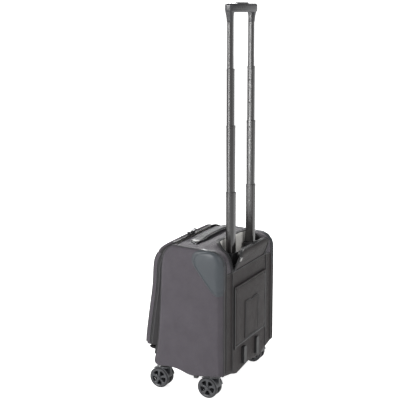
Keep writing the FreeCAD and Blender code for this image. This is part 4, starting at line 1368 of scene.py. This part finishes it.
def build_tube(name, body, node, stage, extra, slot):
    """Both tubes or both collars of one stage, bored to let the next smaller stage slide in."""
    low, high = node_box(node)
    wide, lean = TUBE_LOOKS[stage - 1]
    b = Build()
    for side in (-1, 1):
        outer, lip = tube_section(stage, side, extra), tube_section(stage, side, extra - 0.2)
        bore = tube_section(stage - 1, side, 0.12) if stage > 1 else tube_section(1, side, -1.0)
        levels = [(bore, low[2]), (lip, low[2]), (outer, low[2] + 0.25), (outer, high[2] - 0.25), (lip, high[2]),
                  (bore, high[2])]
        b.grid([[(x, y, z) for x, y in section] for section, z in levels], close_rows=True, close_cols=True)
        # Latch marks of material 1 are near-black discs, painted shade for holes; those of material 2 are silver.
        for drop, kind in LATCH_MARKS[stage - 1] if slot == "tube_metal" else ():
            at = (side * (TUBE_X + TUBE_OUT - wide / 2), TUBE_Y + lean - 0.6, high[2] - drop)
            b.lathe([(0.0, 0.07), (1.9, 0.07), (2.0, -0.3)], at, (-side, 0, 0), 16, kind)
    b.piece(name, body, [TUBE, PAINTED_HOLE_SHADE, SILVER], slot, (node,), 30)

for stage in (1, 2, 3, 4):
    build_tube("handle_tube_%d" % stage, "stage_%d" % stage, "stage_%d_tubes" % stage, stage, 0.0, "tube_metal")
    if stage > 1:
        build_tube("handle_collar_%d" % stage, "stage_%d" % stage, "stage_%d_collars" % stage, stage, 0.25,
                   "collar_plastic")
build_tube("handle_tube_5", "case", "outer_tubes", 5, 0.0, "tube_metal")

# ---- grip ----

def build_grip():
    """The grip: a bar with rounded ends and two legs that taper down to the tubes."""
    node_low, node_high = node_box("grip")
    mid_y = (node_low[1] + node_high[1]) / 2
    b = Build()
    ends = [(0.0, 0.0), (72.6, 0.0), (74.2, 0.5), (75.6, 1.4), (76.8, 2.9), (77.5, 5.0), (77.7, 7.0)]
    rings = []
    for x, inset in [(-x, inset) for x, inset in reversed(ends[1:])] + ends:
        rings.append([(x, mid_y + u, 1009.0 + v) for u, v in
                      rounded_rect(21.0 - 2 * inset, 22.0 - 2 * inset, max(5.4 - inset, 1.5), 5)])
    b.loft(rings)
    legs = [(973.8, 14.4, 14.4, 0.0), (974.4, 15.0, 15.0, 0.1), (981.0, 15.6, 15.3, 0.6), (988.0, 17.0, 16.0, 1.4),
            (994.0, 18.2, 17.2, 2.1), (998.0, 19.2, 18.4, 2.5), (1002.0, 20.0, 19.4, 2.7), (1007.0, 20.6, 20.2, 2.8)]
    for side in (-1, 1):
        rings = [[(side * (TUBE_X + TUBE_OUT + shift) + u, mid_y - 1.2 + v, z)
                  for u, v in rounded_rect(wide, deep, 4.4, 5)] for z, wide, deep, shift in legs]
        b.grid(rings, close_cols=True)
        b.add(rings[0], [tuple(range(len(rings[0])))])
    for y in (-10.3, 10.3):
        b.tube(np.array([(x, mid_y + y, 1008.4) for x in np.linspace(-70, 70, 40)]), 0.6, 1)
    b.tube(np.array([(31.4 * c, mid_y + 8.0 * s, 1019.7) for c, s in button_outline(60)]), 0.9, 1, closed=True)
    b.piece("grip_shell", "stage_1", [GRIP, COLLAR], "grip_plastic", ("grip",), 40)


def button_outline(count):
    """A rounded oblong of half sizes 1, for the rim round the release button."""
    angles = np.linspace(0, 2 * math.pi, count + 1)[:-1]
    return [(math.copysign(abs(math.cos(a)) ** 0.35, math.cos(a)),
             math.copysign(abs(math.sin(a)) ** 0.6, math.sin(a))) for a in angles]

build_grip()


# ---- finishes of the CAD nodes that keep their shape ----

def finish_node(node, mat):
    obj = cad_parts[node]
    if not obj.data.materials:
        obj.data.materials.append(mat)
    for slot in obj.material_slots:
        slot.material = mat


FINISHES = [("release_button", BUTTON), ("release_rods", SILVER), ("handle_bezel", MOULDED), ("handle_base", MOULDED),
            ("bottom_tray", MOULDED), ("skid_guards", MOULDED), ("caster_housings", MOULDED),
            ("housing_screws", DARK_METAL), ("flap_zip_slider", SILVER), ("main_zip_pull_left", DARK_METAL),
            ("main_zip_pull_right", DARK_METAL)]
FINISHES += [("fork_" + corner, WHEEL) for corner in CORNERS]
FINISHES += [("tyre_%s_%s" % (corner, place), TYRE) for corner in CORNERS for place in ("outer", "inner")]
for node_name, finish in FINISHES:
    finish_node(node_name, finish)

# ---- floor, light and camera ----

FLOOR = bpy.data.materials.new("Studio floor")
FLOOR.use_nodes = True
for socket_name, setting in (("Base Color", (0.5, 0.5, 0.5, 1.0)), ("Roughness", 0.9),
                             ("Emission Color", (1.0, 1.0, 1.0, 1.0)), ("Emission Strength", 0.86)):
    FLOOR.node_tree.nodes["Principled BSDF"].inputs[socket_name].default_value = setting
FLOOR_HALF, BACKDROP_R, BACKDROP_TOP = 19000.0, 18000.0, 1500.0
WORLD_STRENGTH = 0.42
LIGHTS = [("key", (2.2, -0.7, 1.7), (0.0, 0.0, 0.25), 60.0, 0.9, 0.9),      # place, aim, watts, width, height
          ("fill", (0.4, 2.6, 2.2), (0.0, 0.0, 0.3), 42.0, 1.6, 1.6),
          ("back", (-2.2, -1.4, 2.4), (0.0, 0.0, 0.6), 120.0, 1.0, 1.0),
          ("strip", (2.55, -1.15, 0.95), (0.0, 0.08, 0.85), 36.0, 0.3, 2.0)]
CAMERA_PLACE = (2.0758, 1.0750, 1.0049)
CAMERA_YAW, CAMERA_PITCH, CAMERA_ROLL = -152.07, -12.18, -0.23              # degrees
CAMERA_LENS, CAMERA_SENSOR = 77.44, 36.0                                    # millimetres

def stage_mesh(name, rows, close_cols=False):
    """A white surface round the case that isn't part of it."""
    b = Build()
    b.grid(rows, close_cols=close_cols)
    data = bpy.data.meshes.new(name)
    data.from_pydata([tuple(c * MM for c in v) for v in b.verts], [], b.faces)
    data.materials.append(FLOOR)
    obj = bpy.data.objects.new(name, data)
    bpy.context.scene.collection.objects.link(obj)

def build_studio():
    stage_mesh("floor", [[(x, y, 0) for x in (-FLOOR_HALF, FLOOR_HALF)] for y in (-FLOOR_HALF, FLOOR_HALF)])
    ring = circle(BACKDROP_R, 96)
    stage_mesh("backdrop", [[(x, y, z) for x, y in ring] for z in (-10, BACKDROP_TOP)], True)
    world = bpy.data.worlds.new("studio")
    bpy.context.scene.world = world
    world.use_nodes = True
    background = world.node_tree.nodes["Background"]
    background.inputs[0].default_value = (1.0, 1.0, 1.0, 1.0)
    background.inputs[1].default_value = WORLD_STRENGTH
    for name, place, aim, power, width, height in LIGHTS:
        lamp = bpy.data.lights.new(name, "AREA")
        lamp.energy, lamp.shape, lamp.size, lamp.size_y = power, "RECTANGLE", width, height
        obj = bpy.data.objects.new(name, lamp)
        obj.location = place
        obj.visible_camera = False
        obj.rotation_euler = (Vector(aim) - Vector(place)).to_track_quat("-Z", "Y").to_euler()
        bpy.context.scene.collection.objects.link(obj)

def build_camera():
    """The camera that took the photo, as fitted to the straight edges in it."""
    yaw, pitch, roll = [math.radians(a) for a in (CAMERA_YAW, CAMERA_PITCH, CAMERA_ROLL)]
    forward = Vector((math.cos(yaw) * math.cos(pitch), math.sin(yaw) * math.cos(pitch), math.sin(pitch)))
    right = Vector((math.sin(yaw), -math.cos(yaw), 0))
    up = right.cross(forward)
    right, up = right * math.cos(roll) + up * math.sin(roll), up * math.cos(roll) - right * math.sin(roll)
    data = bpy.data.cameras.new("camera")
    data.lens, data.sensor_width = CAMERA_LENS, CAMERA_SENSOR
    camera = bpy.data.objects.new("camera", data)
    camera.matrix_world = Matrix.Translation(CAMERA_PLACE) @ Matrix((right, up, -forward)).transposed().to_4x4()
    bpy.context.scene.collection.objects.link(camera)
    bpy.context.scene.camera = camera

build_studio()
build_camera()
bpy.context.scene.view_settings.view_transform = "Standard"
